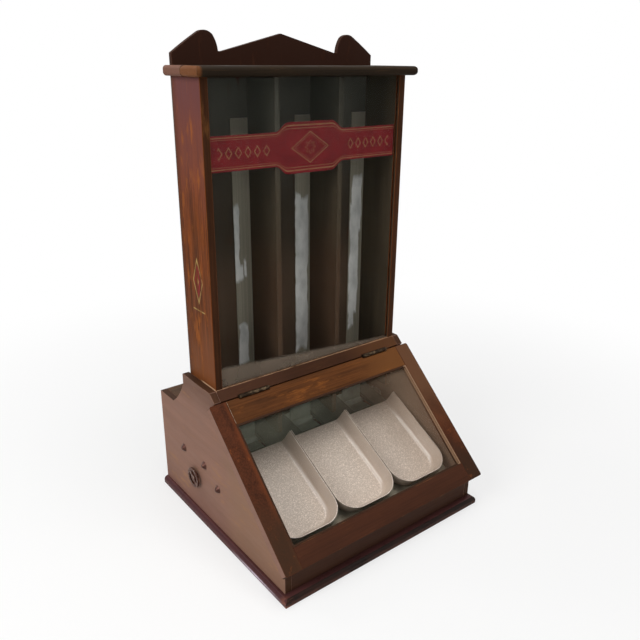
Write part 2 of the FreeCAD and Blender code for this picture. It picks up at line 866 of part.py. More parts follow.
def build_top_board():
    """Fixed rear half of the top, with two tongues that carry the loading flap's pins."""
    body = new_body("top_board")
    joint = f"({from_front('flap_axis')}+{TOP_HALF}+flap_play)"
    heights = ("tower_top", "tower_top+top_thick")
    outline = rectangle((joint, from_front("tower_rear")), heights)
    pad(body, "YZ_Plane", "-top_half_width", "top_half_width", outline)
    round_ends(body, joint, from_front("tower_rear"))
    radius = f"({TOP_HALF}-flap_play)"
    tongue = (
        (joint, f"{TOP_MIDDLE}-{radius}"),
        (joint, f"{TOP_MIDDLE}+{radius}"),
        (from_front("flap_axis"), f"{TOP_MIDDLE}+{radius}", radius),
        (from_front("flap_axis"), f"{TOP_MIDDLE}-{radius}"),
    )
    bore = (from_front("flap_axis"), TOP_MIDDLE, "flap_pin_radius+running_play")
    for sign in ("-", ""):
        middle = f"({sign}flap_hinge_place)"
        low, high = f"{middle}-flap_tongue_half", f"{middle}+flap_tongue_half"
        pad(body, "YZ_Plane", low, high, tongue, (bore,))


def build_loading_flap():
    """Front half of the top, rounded at the joint so that it swings up on its pins."""
    body = new_body("loading_flap")
    axis = from_front("flap_axis")
    front = from_front("top_front")
    behind = f"({front}+top_round)"
    bow = "top_round*(1-cos(45))"
    outline = (
        (behind, "tower_top"),
        (axis, "tower_top", TOP_HALF),
        (axis, "tower_top+top_thick"),
        (behind, "tower_top+top_thick", bow),
        (front, "tower_top+top_thick-top_round"),
        (front, "tower_top+top_round", bow),
    )
    pad(body, "YZ_Plane", "-top_half_width", "top_half_width", outline)
    round_ends(body, front, f"({axis}+{TOP_HALF})")
    clear = f"({TOP_HALF}+flap_play)"
    slot = (f"{axis}-{clear}", f"{axis}+{clear}")
    for sign in ("-", ""):
        middle = f"({sign}flap_hinge_place)"
        half = "(flap_tongue_half+flap_play)"
        width = (f"{middle}-{half}", f"{middle}+{half}")
        heights = ("tower_top-1", "tower_top+top_thick+1")
        pocket(body, "XY_Plane", *heights, rectangle(width, slot))
        for end in ("-", "+"):
            inner = f"({middle}{end}{half})"
            outer = f"({middle}{end}(flap_pin_half+flap_play))"
            low, high = (outer, inner) if end == "-" else (inner, outer)
            bore = (axis, TOP_MIDDLE, "flap_pin_radius+running_play")
            drill(body, "YZ_Plane", low, high, bore)
    pins = []
    for sign in ("-", ""):
        middle = f"({sign}flap_hinge_place)"
        ends = (f"{middle}-flap_pin_half", f"{middle}+flap_pin_half")
        pins.append(rod("flap_pin_radius", ends, "flap_axis", TOP_MIDDLE))
    keep(group(*pins), "flap_pins")


# ---------------------------------------------------------------- lid


LID_OPENING = "(lid_half_width-stile_wide)"
OPENING_TOP = "(lid_length-top_rail_wide)"


def lid_groove():
    """Low and high of the groove for the lid's glass, measured out of the lid's face."""
    deep = "-lid_glass_deep-glass_thick-glass_play"
    return deep, "-lid_glass_deep+glass_play"


def build_lid_frame():
    edge = "(lid_glass_edge+glass_play)"
    along = (f"bottom_rail_wide-{edge}", f"{OPENING_TOP}+{edge}")
    inner, deep = LID_OPENING, f"{LID_OPENING}+{edge}"
    outer, length = value("lid_half_width"), value("lid_length")

    def outer_corner(edge, middle):
        at_end = near(middle.y, 0) or near(middle.y, length)
        return at_end and near(abs(middle.x), outer) and near(middle.z, value("-lid_thick/2"))

    for name, low, high, groove in (
        ("lid_stile_left", "-lid_half_width", f"-{inner}", (f"-({deep})", f"-{inner}")),
        ("lid_stile_right", inner, "lid_half_width", (inner, deep)),
    ):
        body = new_body(name, LID)
        outline = rectangle(("0", "lid_length"), ("-lid_thick", "0"))
        pad(body, "YZ_Plane", low, high, outline)
        round_edges(body, "lid_corner_round", outer_corner)
        pocket(body, "YZ_Plane", *groove, rectangle(along, lid_groove()))
    for name, low, high, groove in (
        ("lid_rail_bottom", "0", "bottom_rail_wide", (along[0], "bottom_rail_wide")),
        ("lid_rail_top", OPENING_TOP, "lid_length", (OPENING_TOP, along[1])),
    ):
        body = new_body(name, LID)
        outline = rectangle((low, high), ("-lid_thick", "0"))
        pad(body, "YZ_Plane", f"-{LID_OPENING}", LID_OPENING, outline)
        pocket(body, "YZ_Plane", f"-{LID_OPENING}", LID_OPENING, rectangle(groove, lid_groove()))
        if name == "lid_rail_top":
            for middle in HINGES.values():
                recess_hinge(body, middle, (LID_PLATE[0], "lid_length"))
                drill_screws(body, middle, (f"{LID_PLATE[0]}-hinge_screw_long", LID_PLATE[0]))


def build_lid_glass():
    edge = "lid_glass_edge"
    across = (f"-{LID_OPENING}-{edge}", f"{LID_OPENING}+{edge}")
    along = (f"bottom_rail_wide-{edge}", f"{OPENING_TOP}+{edge}")
    glass = box(across, along, ("-lid_glass_deep-glass_thick", "-lid_glass_deep"), LID)
    keep(glass, "lid_glass")
    body = new_body("lid_bead", LID)
    low, high = "-lid_glass_deep", "-glass_play"
    outer = rectangle((f"-{LID_OPENING}", LID_OPENING), ("bottom_rail_wide", OPENING_TOP))
    pad(body, "XY_Plane", low, high, outer)
    across = (f"-{LID_OPENING}+bead_wide", f"{LID_OPENING}-bead_wide")
    along = ("bottom_rail_wide+bead_wide", f"{OPENING_TOP}-bead_wide")
    pocket(body, "XY_Plane", low, high, rectangle(across, along))


# ---------------------------------------------------------------- lid hinges


def recess_hinge(body, middle, plate):
    """Sinks a hinge leaf and its knuckles into an edge of the lid joint."""
    half = "(hinge_half_long+knuckle_play)"
    ends = (f"{middle}-{half}", f"{middle}+{half}")
    pocket(body, "YZ_Plane", *ends, rectangle(plate, ("-leaf_deep", "1")))
    clear = "(knuckle_radius+knuckle_play)"
    across = (f"{KNUCKLE_ALONG}-{clear}", f"{KNUCKLE_ALONG}+{clear}")
    pocket(body, "YZ_Plane", *ends, rectangle(across, (f"knuckle_rise-{clear}", "knuckle_rise+1")))


def screw_places(middle):
    return tuple(f"({middle}+({step})*hinge_half_long*0.7)" for step in (-1, 0, 1))


def drill_screws(body, middle, along):
    """Holes of a leaf's screws in the wood beside it."""
    bores = [(x, SCREW_DEEP, "hinge_screw_radius") for x in screw_places(middle)]
    drill(body, "XZ_Plane", *along, *bores)


def knuckle_span(middle, index):
    """Low and high along X of one knuckle, with play at both ends."""
    step = f"(2*hinge_half_long/{KNUCKLES})"
    low = f"({middle}-hinge_half_long+{index}*{step}+running_play*2)"
    high = f"({middle}-hinge_half_long+{index + 1}*{step}-running_play*2)"
    return low, high


def hinge_leaf(name, middle, plate, first):
    """A leaf: plate in the joint, tabs up to its own knuckles, and screw holes."""
    ends = (f"{middle}-hinge_half_long", f"{middle}+hinge_half_long")
    tab_foot = "(knuckle_rise-knuckle_radius-knuckle_play)"
    pieces = [box(ends, plate, ("-leaf_deep", tab_foot), LID)]
    for index in range(first, KNUCKLES, 2):
        span = knuckle_span(middle, index)
        pieces.append(box(span, plate, (tab_foot, "knuckle_rise"), LID))
        pieces.append(rod("knuckle_radius", span, KNUCKLE_ALONG, "knuckle_rise", LID))
    bores = [rod("lid_pin_radius+running_play", ends, KNUCKLE_ALONG, "knuckle_rise", LID)]
    for x in screw_places(middle):
        bores.append(leaf_screw("hinge_screw_radius", x, plate))
    keep(cut(fuse(*pieces), *bores), name)


def leaf_screw(radius, x, along):
    """A pin that runs along the lid's slope, through a leaf and into the wood beside it."""
    piece = doc.addObject("Part::Cylinder", "Screw")
    piece.setExpression("Radius", bound(radius))
    piece.setExpression("Height", bound(f"({along[1]})-({along[0]})"))
    lean = f"{ACROSS_EDGE}-lid_slope"
    turn = FreeCAD.Rotation(FreeCAD.Vector(-1, 0, 0), value(lean))
    place(piece, x, along[0], SCREW_DEEP, LID, turn)
    piece.setExpression(".Placement.Rotation.Angle", bound(lean))
    return piece


def build_hinges():
    lid_screws, rail_screws, pins = [], [], []
    for side, middle in HINGES.items():
        hinge_leaf(f"rail_leaf_{side}", middle, RAIL_PLATE, 0)
        hinge_leaf(f"lid_leaf_{side}", middle, LID_PLATE, 1)
        ends = (f"{middle}-hinge_half_long", f"{middle}+hinge_half_long")
        pins.append(rod("lid_pin_radius", ends, KNUCKLE_ALONG, "knuckle_rise", LID))
        for x in screw_places(middle):
            deep = (f"{LID_PLATE[0]}-hinge_screw_long", LID_PLATE[1])
            lid_screws.append(leaf_screw("hinge_screw_radius", x, deep))
            deep = (RAIL_PLATE[0], f"{RAIL_PLATE[1]}+hinge_screw_long")
            rail_screws.append(leaf_screw("hinge_screw_radius", x, deep))
    keep(group(*pins), "hinge_pins")
    keep(group(*lid_screws), "lid_leaf_screws")
    keep(group(*rail_screws), "rail_leaf_screws")


# ---------------------------------------------------------------- toothed wheels


def polar(radius, angle):
    """A point in the YZ plane about the origin."""
    turn = math.radians(angle)
    return FreeCAD.Vector(0, radius * math.cos(turn), radius * math.sin(turn))


def prism(points, low, high):
    """A solid of a closed outline in the YZ plane, from low to high along X."""
    wire = Part.makePolygon(list(points) + [points[0]])
    solid = Part.Face(wire).extrude(FreeCAD.Vector(high - low, 0, 0))
    solid.translate(FreeCAD.Vector(low, 0, 0))
    return solid


def round_bar(radius, low, high, centre=FreeCAD.Vector()):
    base = FreeCAD.Vector(low, centre.y, centre.z)
    return Part.makeCylinder(radius, high - low, base, FreeCAD.Vector(1, 0, 0))


TOOTH_TIP = 0.85
TOOTH_ROOT = 1.25
ROOT_SHARE = 0.62
PITCH_SHARE = 0.42
TIP_SHARE = 0.18


def gear(teeth, module, low, high, phase):
    """A spur wheel about the origin with one tooth at the angle phase."""
    pitch_radius = teeth * module / 2
    step = FULL_TURN / teeth
    points = []
    for index in range(teeth):
        middle = phase + index * step
        for radius, share in (
            (pitch_radius - TOOTH_ROOT * module, -ROOT_SHARE),
            (pitch_radius, -PITCH_SHARE),
            (pitch_radius + TOOTH_TIP * module, -TIP_SHARE),
            (pitch_radius + TOOTH_TIP * module, TIP_SHARE),
            (pitch_radius, PITCH_SHARE),
            (pitch_radius - TOOTH_ROOT * module, ROOT_SHARE),
        ):
            points.append(polar(radius, middle + share * step / 2))
    return prism(points, low, high)


def meshing_phase(own_teeth, other_teeth, other_phase, angle):
    """Tooth angle that puts a gap of a wheel on a tooth of the wheel it meshes with.

    angle is the way from the other wheel's centre to this one's."""
    other_share = (other_phase - angle) * other_teeth / FULL_TURN
    return angle + FULL_TURN / 2 + (0.5 - other_share) * FULL_TURN / own_teeth


# ---------------------------------------------------------------- spring motor


def motor_layout():
    """Centres and planes of the motor, from the sheet's sizes."""
    centre = FreeCAD.Vector(0, value(from_front("key_place")), value("key_height"))
    great, module = int(value("great_teeth")), value("great_module")
    pinion = int(value("second_pinion_teeth"))
    second = centre + polar((great + pinion) * module / 2, value("second_angle"))
    wheel, fine = int(value("second_wheel_teeth")), value("fine_module")
    small = int(value("governor_pinion_teeth"))
    governor = second + polar((wheel + small) * fine / 2, value("governor_angle"))
    feed = FreeCAD.Vector(0, value(FEED_Y), value("feed_height"))
    return {"barrel": centre, "second": second, "governor": governor, "feed": feed}


WALL = f"-{INNER}"
GEAR_PLANE = (f"{WALL}+gear_out", f"{WALL}+gear_out+gear_thick")
WHEEL_PLANE = (f"{WALL}+wheel_out", f"{WALL}+wheel_out+wheel_thick")
INNER_PLATE = (f"{WALL}+inner_plate_out", f"{WALL}+inner_plate_out+plate_thick")
OUTER_PLATE = (WALL, f"{WALL}+plate_thick")
HUB_END = "(-base_half_width-bush_flange_thick-end_play)"


def span(plane):
    return tuple(value(expression) for expression in plane)


def motor_plate_corners():
    """Outline of the motor plates, whose top follows the underside of the chute floor."""
    rear, front = value(from_front("motor_rear")), value(from_front("motor_front"))
    foot = value("motor_foot")
    shoulder = value("front_screw_height+screw_head_radius")
    nose = foot + (shoulder - foot) * value("plate_nose_share")
    slant = (shoulder - foot) * value("plate_slant_share")
    rear_top = value("rear_screw_height+screw_head_radius")
    top = []
    for reach in ("+plate_head_half", "-plate_head_half"):
        under = chute_height(f"{FEED_PLACE}{reach}", "board_thick+plate_head_gap")
        top.append(FreeCAD.Vector(0, value(f"{FEED_Y}{reach}"), value(under)))
    return [
        FreeCAD.Vector(0, front, nose),
        FreeCAD.Vector(0, front + slant, foot),
        FreeCAD.Vector(0, rear, foot),
        FreeCAD.Vector(0, rear, rear_top),
        *top,
        FreeCAD.Vector(0, front, shoulder),
    ]


def pillar_centre(which):
    place_along = value(from_front(f"{which}_pillar_place"))
    return FreeCAD.Vector(0, place_along, value(f"{which}_pillar_height"))


def build_motor_plates(layout):
    play = value("running_play")
    bores = [
        (layout["barrel"], value("arbor_radius") + play),
        (layout["second"], value("second_arbor_radius") + play),
        (layout["governor"], value("governor_arbor_radius") + play),
        (layout["feed"], value("feed_shaft_radius") + play),
    ]
    screw_bore = value("screw_radius") + play
    screws = [(FreeCAD.Vector(0, value(y), value(z)), screw_bore) for y, z in SCREW_PLACES]
    for name, plane, holes in (
        ("motor_plate_outer", OUTER_PLATE, bores + screws),
        ("motor_plate_inner", INNER_PLATE, bores),
    ):
        low, high = span(plane)
        plate = prism(motor_plate_corners(), low, high)
        for centre, radius in holes:
            plate = plate.cut(round_bar(radius, low, high, centre))
        if name == "motor_plate_inner":
            stud_foot = span(WHEEL_PLANE)[0]
            stud = round_bar(value("click_pin_radius"), stud_foot, low, click_pivot(layout))
            plate = plate.fuse(stud).removeSplitter()
        part_feature(plate, name)
    low, high = span(OUTER_PLATE)[1], span(INNER_PLATE)[0]
    places = [pillar_centre(which) for which in ("rear", "top", "front", "foot")]
    pillars = [round_bar(value("pillar_radius"), low, high, centre) for centre in places]
    part_feature(Part.makeCompound(pillars), "motor_pillars")


def click_pivot(layout):
    return layout["barrel"] + polar(value("click_reach"), value("click_angle"))


def build_barrel(layout):
    centre = layout["barrel"]
    low, high = span(GEAR_PLANE)
    play = value("running_play")
    radius, wall = value("drum_radius"), value("drum_wall")
    end = high + value("drum_long")
    wheel = gear(int(value("great_teeth")), value("great_module"), low, high, 0)
    drum = round_bar(radius, high, end).cut(round_bar(radius - wall, high, end))
    bore = round_bar(value("arbor_radius") + play, low, end + wall)
    barrel = wheel.fuse(drum).cut(bore).removeSplitter()
    barrel.translate(centre)
    part_feature(barrel, "spring_barrel")
    cap = round_bar(radius, end, end + wall).cut(bore)
    cap.translate(centre)
    part_feature(cap, "barrel_cap")
    gap = value("spring_play")
    spring = spiral(value("arbor_radius") + gap, radius - wall - gap, high + gap, end - gap)
    spring.translate(centre)
    part_feature(spring, "mainspring")


def spiral(inner, outer, low, high):
    """A flat spring of half circles whose radius grows by the same step each time."""
    thick = value("spring_thick")
    halves = 2 * int(value("spring_turns"))
    step = (outer - inner - thick) / halves
    near_side, far_side = [], []
    for index in range(halves):
        radius = inner + thick / 2 + index * step
        shift = step if index % 2 else 0
        way = -1 if index % 2 else 1
        for edges, offset in ((near_side, -thick / 2), (far_side, thick / 2)):
            reach = radius + offset
            ends = [FreeCAD.Vector(0, shift + side * reach, 0) for side in (way, -way)]
            crown = FreeCAD.Vector(0, shift, way * reach)
            edges.append(Part.Arc(ends[0], crown, ends[1]).toShape())
    starts = [side[0].firstVertex(True).Point for side in (near_side, far_side)]
    ends = [side[-1].lastVertex(True).Point for side in (near_side, far_side)]
    caps = [Part.makeLine(*starts), Part.makeLine(*ends)]
    wire = Part.Wire(Part.__sortEdges__(near_side + far_side + caps))
    band = Part.Face(wire).extrude(FreeCAD.Vector(high - low, 0, 0))
    band.translate(FreeCAD.Vector(low, 0, 0))
    return band


def build_train(layout):
    """Second wheel and governor, each one piece with its arbor and pinion."""
    gear_low, gear_high = span(GEAR_PLANE)
    low, high = span(WHEEL_PLANE)
    ends = value(f"{WALL}+end_play"), span(INNER_PLATE)[1]
    pinion_teeth, great = int(value("second_pinion_teeth")), int(value("great_teeth"))
    phase = meshing_phase(pinion_teeth, great, 0, value("second_angle"))
    past = value("pinion_past")
    pinion = gear(pinion_teeth, value("great_module"), gear_low - past, gear_high + past, phase)
    wheel_teeth = int(value("second_wheel_teeth"))
    wheel = gear(wheel_teeth, value("fine_module"), low, high, phase)
    arbor = round_bar(value("second_arbor_radius"), *ends)
    second = pinion.fuse([wheel, arbor]).removeSplitter()
    second.translate(layout["second"])
    part_feature(second, "second_wheel")
    small = int(value("governor_pinion_teeth"))
    small_phase = meshing_phase(small, wheel_teeth, phase, value("governor_angle"))
    past = value("small_pinion_past")
    pinion = gear(small, value("fine_module"), low - past, high + past, small_phase)
    arbor = round_bar(value("governor_arbor_radius"), *ends)
    reach, thick = value("fly_radius"), value("fly_thick")
    gap = value("fly_play")
    corner = FreeCAD.Vector(gear_high + gap, -reach, -thick / 2)
    fly = Part.makeBox(low - gear_high - 2 * gap, 2 * reach, thick, corner)
    governor = pinion.fuse([arbor, fly]).removeSplitter()
    governor.translate(layout["governor"])
    part_feature(governor, "governor_fly")


def build_winding(layout):
    """Arbor, ratchet wheel and click."""
    centre = layout["barrel"]
    low, high = span(WHEEL_PLANE)
    radius, play = value("arbor_radius"), value("running_play")
    hub_end = value(HUB_END)
    arbor = round_bar(radius, hub_end, span(INNER_PLATE)[1], centre)
    square = radius * value("square_share")
    tip = value("key_hub_long") * value("socket_share")
    corner = FreeCAD.Vector(hub_end - tip, centre.y - square / 2, centre.z - square / 2)
    arbor = arbor.fuse(Part.makeBox(tip, square, square, corner)).removeSplitter()
    part_feature(arbor, "winding_arbor")
    teeth = int(value("ratchet_teeth"))
    step = FULL_TURN / teeth
    points = []
    for index in range(teeth):
        points.append(polar(value("ratchet_root"), index * step))
        points.append(polar(value("ratchet_radius"), (index + 1) * step - value("ratchet_face_turn")))
    ratchet = prism(points, low, high).cut(round_bar(radius + play, low, high))
    ratchet.translate(centre)
    part_feature(ratchet, "ratchet_wheel")
    pivot = click_pivot(layout)
    bore = value("click_pin_radius") + play
    face = step * round(value("click_nose_angle") / step)
    nose, tip, knee = (
        centre + polar(value(f"click_{part}_reach"), face + value(f"click_{part}_turn"))
        for part in ("nose", "back", "knee")
    )
    way = (nose - pivot).normalize()
    across = FreeCAD.Vector(0, -way.z, way.y) * bore
    click_end = high - value("end_play")
    arm = prism([pivot - across, knee, nose, tip, pivot + across], low, click_end)
    eye = round_bar(value("click_eye_radius"), low, click_end, pivot)
    click = eye.fuse(arm).cut(round_bar(bore, low, high, pivot)).removeSplitter()
    part_feature(click, "click")
    pillar = pillar_centre("top")
    back = pivot + across
    outward = FreeCAD.Vector(0, back.z - tip.z, tip.y - back.y).normalize()
    rest = back + (tip - back) * value("click_spring_share")
    end = rest + outward * value("click_spring_gap")
    thick = value("click_spring_thick")
    down = (end - pillar).normalize()
    aside = FreeCAD.Vector(0, -down.z, down.y) * thick / 2
    strip = prism([pillar - aside, pillar + aside, end + aside, end - aside], low, click_end)
    clip = round_bar(value("pillar_radius") + play + thick, low, click_end, pillar)
    hole = round_bar(value("pillar_radius") + play, low, click_end, pillar)
    part_feature(clip.fuse(strip).cut(hole).removeSplitter(), "click_spring")


SEAT = "(base_half_width+screw_cup_thick)"
SCREW_BALL = "((screw_head_radius^2+screw_head_high^2)/(2*screw_head_high))"
SCREW_CUP = ("screw_cup_radius", "screw_cup_mouth", "screw_cup_thick")


def build_key_and_screws():
    face, tip = "-base_half_width", "-base_half_width-bush_flange_thick"
    centre = ("key_place", "key_height")
    bush = fuse(rod("bush_flange", (tip, face), *centre), rod("bush_radius", (face, WALL), *centre))
    bore = rod("arbor_radius+running_play", (tip, WALL), *centre)
    keep(cut(bush, bore), "winding_bush")
    hub_tip = f"({HUB_END}-key_hub_long)"
    hub = rod("key_hub_radius", (hub_tip, HUB_END), *centre)
    ring_plane = (hub_tip, f"{hub_tip}+key_ring_thick")
    ring = cut(rod("key_ring_radius", ring_plane, *centre), rod("key_ring_hole", ring_plane, *centre))
    reach = "key_ring_hole+(key_ring_radius-key_ring_hole)/2"
    across = ("-key_web_wide/2", "key_web_wide/2")
    web = box(ring_plane, (f"-({reach})", reach), across, KEY)
    half = "(arbor_radius*square_share/2+running_play)"
    socket = [(f"{middle}-{half}", f"{middle}+{half}") for middle in centre]
    ends = (f"{HUB_END}-key_hub_long*socket_share-end_play", HUB_END)
    keep(cut(fuse(hub, ring, web), box(ends, *socket)), "winding_key")
    screws = []
    for which in ("rear", "middle", "front"):
        along, height = f"{which}_screw_place", f"{which}_screw_height"
        head = doc.addObject("Part::Sphere", "Head")
        head.setExpression("Radius", bound(SCREW_BALL))
        head.setExpression("Angle1", bound(f"asin(({SCREW_BALL}-screw_head_high)/{SCREW_BALL})"))
        toward_left = FreeCAD.Rotation(FreeCAD.Vector(0, 1, 0), -90)
        place(head, f"-{SEAT}+{SCREW_BALL}-screw_head_high", along, height, LEVEL, toward_left)
        cup = doc.addObject("Part::Cone", "Cup")
        for side, size in zip(("Radius1", "Radius2", "Height"), SCREW_CUP):
            cup.setExpression(side, bound(size))
        place(cup, "-base_half_width", along, height, LEVEL, toward_left)
        tip = f"{WALL}+plate_thick+screw_past"
        shank = rod("screw_radius", ("-base_half_width", tip), along, height)
        screws.append(fuse(head, cup, shank))
    keep(group(*screws), "motor_screws")


# ---------------------------------------------------------------- feed shaft


FEED_PLACE = f"({FEED_Y}+plinth_depth/2)"


def build_feed(layout):
    ends = (f"{WALL}+end_play", f"{INNER}-end_play")
    keep(rod("feed_shaft_radius", ends, FEED_PLACE, "feed_height"), "feed_shaft")
    low, high = span(GEAR_PLANE)
    own, great = int(value("feed_teeth")), int(value("great_teeth"))
    way = layout["feed"] - layout["barrel"]
    angle = math.degrees(math.atan2(way.z, way.y))
    phase = meshing_phase(own, great, 0, angle)
    wheel = gear(own, value("great_module"), low, high, phase)
    wheel = wheel.cut(round_bar(value("feed_shaft_radius") + value("running_play") / 2, low, high))
    wheel.translate(layout["feed"])
    part_feature(wheel, "feed_gear")
    for side in LANES:
        centre = lane_centre(side)
        width = (f"{centre}-feed_half_wide", f"{centre}+feed_half_wide")
        hub = rod("feed_hub_radius", width, FEED_PLACE, "feed_height")
        reach = (f"{FEED_PLACE}-feed_vane_reach", f"{FEED_PLACE}+feed_vane_reach")
        thick = (f"{FEED_PLACE}-feed_vane_thick/2", f"{FEED_PLACE}+feed_vane_thick/2")
        level = box(width, reach, ("feed_height-feed_vane_thick/2", "feed_height+feed_vane_thick/2"))
        upright = box(width, thick, ("feed_height-feed_vane_reach", "feed_height+feed_vane_reach"))
        bore = rod("feed_shaft_radius+running_play/2", width, FEED_PLACE, "feed_height")
        keep(cut(fuse(hub, level, upright), bore), f"feed_wheel_{side}")
    x = (f"{INNER}-bearing_thick", INNER)
    block = box(x, (f"{FEED_PLACE}-bearing_half", f"{FEED_PLACE}+bearing_half"),
                ("feed_height-bearing_half", "feed_height+bearing_half"))
    bore = rod("feed_shaft_radius+running_play", x, FEED_PLACE, "feed_height")
    keep(cut(block, bore), "feed_shaft_bearing")


# ---------------------------------------------------------------- build and write


build_plinth()
build_base_sides()
build_front_and_back()
build_bed_and_rails()
build_chute_floor()
build_hinge_rail()
for lane in LANES:
    build_tray(lane)
build_tower_sides()
build_tower_back()
build_partitions()
for lane in LANES:
    build_guide_strip(lane)
build_tower_glass()
build_top_board()
build_loading_flap()
build_lid_frame()
build_lid_glass()
build_hinges()
motor = motor_layout()
build_motor_plates(motor)
build_barrel(motor)
build_train(motor)
build_winding(motor)
build_key_and_screws()
build_feed(motor)
doc.recompute()

for thing in doc.Objects:
    if {"Invalid", "Error"} & set(thing.State):
        raise RuntimeError(f"{thing.Label} ({thing.Name}) did not compute: {thing.State}")
for piece in subparts:
    if piece.Shape.isNull() or not piece.Shape.isValid():
        raise RuntimeError(f"{piece.Label} has no valid shape")

os.makedirs("parts", exist_ok=True)
for piece in subparts:
    piece.Shape.exportStep(f"parts/{piece.Label}.step")
print(f"{len(subparts)} sub-parts written")
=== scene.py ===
"""Looks of the three-lane counter cabinet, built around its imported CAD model.

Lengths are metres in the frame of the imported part: X across, Y to the back, Z up.
"""
import json
import math
import random

import bmesh
import bpy
from mathutils import Matrix, Vector

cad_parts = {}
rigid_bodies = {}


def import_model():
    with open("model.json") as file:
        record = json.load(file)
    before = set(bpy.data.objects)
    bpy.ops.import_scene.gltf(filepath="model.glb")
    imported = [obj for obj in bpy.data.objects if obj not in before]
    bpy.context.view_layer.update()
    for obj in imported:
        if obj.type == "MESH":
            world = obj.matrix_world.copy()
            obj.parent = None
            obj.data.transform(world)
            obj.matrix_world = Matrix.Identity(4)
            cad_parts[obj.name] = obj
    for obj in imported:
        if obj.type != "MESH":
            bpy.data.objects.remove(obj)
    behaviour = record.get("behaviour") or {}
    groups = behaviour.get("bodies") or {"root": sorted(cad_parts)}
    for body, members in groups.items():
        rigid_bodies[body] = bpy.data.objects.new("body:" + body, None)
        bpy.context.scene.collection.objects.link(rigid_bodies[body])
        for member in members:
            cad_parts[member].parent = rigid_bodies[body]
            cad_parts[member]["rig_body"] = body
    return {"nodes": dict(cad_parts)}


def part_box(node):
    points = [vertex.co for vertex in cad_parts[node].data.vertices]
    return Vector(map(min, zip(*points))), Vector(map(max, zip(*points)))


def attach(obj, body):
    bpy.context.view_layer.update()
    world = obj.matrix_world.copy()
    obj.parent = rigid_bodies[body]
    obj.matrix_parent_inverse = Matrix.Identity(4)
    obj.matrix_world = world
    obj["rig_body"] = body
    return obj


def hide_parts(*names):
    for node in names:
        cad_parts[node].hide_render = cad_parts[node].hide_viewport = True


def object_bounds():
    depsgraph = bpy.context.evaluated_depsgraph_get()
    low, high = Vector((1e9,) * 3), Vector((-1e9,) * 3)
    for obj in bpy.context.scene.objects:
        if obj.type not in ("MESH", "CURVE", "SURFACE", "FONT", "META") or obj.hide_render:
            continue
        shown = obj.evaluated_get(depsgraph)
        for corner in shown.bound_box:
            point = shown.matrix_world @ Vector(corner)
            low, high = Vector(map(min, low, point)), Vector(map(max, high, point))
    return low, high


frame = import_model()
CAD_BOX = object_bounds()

MM = 0.001
NODES = frame["nodes"]
LID_SLOPE = math.radians(42.25)
TRAY_SLOPE = math.radians(28.2)

X, MINUS_X, Y, MINUS_Y, UP = (Vector(way) for way in
                              ((1, 0, 0), (-1, 0, 0), (0, 1, 0), (0, -1, 0), (0, 0, 1)))
LID_OUT = Vector((0, -math.sin(LID_SLOPE), math.cos(LID_SLOPE)))
TRAY_UP = Vector((0, -math.sin(TRAY_SLOPE), math.cos(TRAY_SLOPE)))
WHITE = (1, 1, 1, 1)
NOISE_MEAN = 0.5
MOST = (0.35, 0.65)  # levels between which most of a noise lies
NEARLY_ALL = (0.3, 0.7)
MATT = 0.1  # specular level of dusty glass, clouded strips and paper


def tone(red, green, blue):
    """A colour written as 0-255 display values, turned to linear RGBA."""
    def linear(level):
        share = level / 255
        return share / 12.92 if share <= 0.04045 else ((share + 0.055) / 1.055) ** 2.4
    return (linear(red), linear(green), linear(blue), 1.0)


# --- materials as graphs of nodes -----------------------------------------------------------


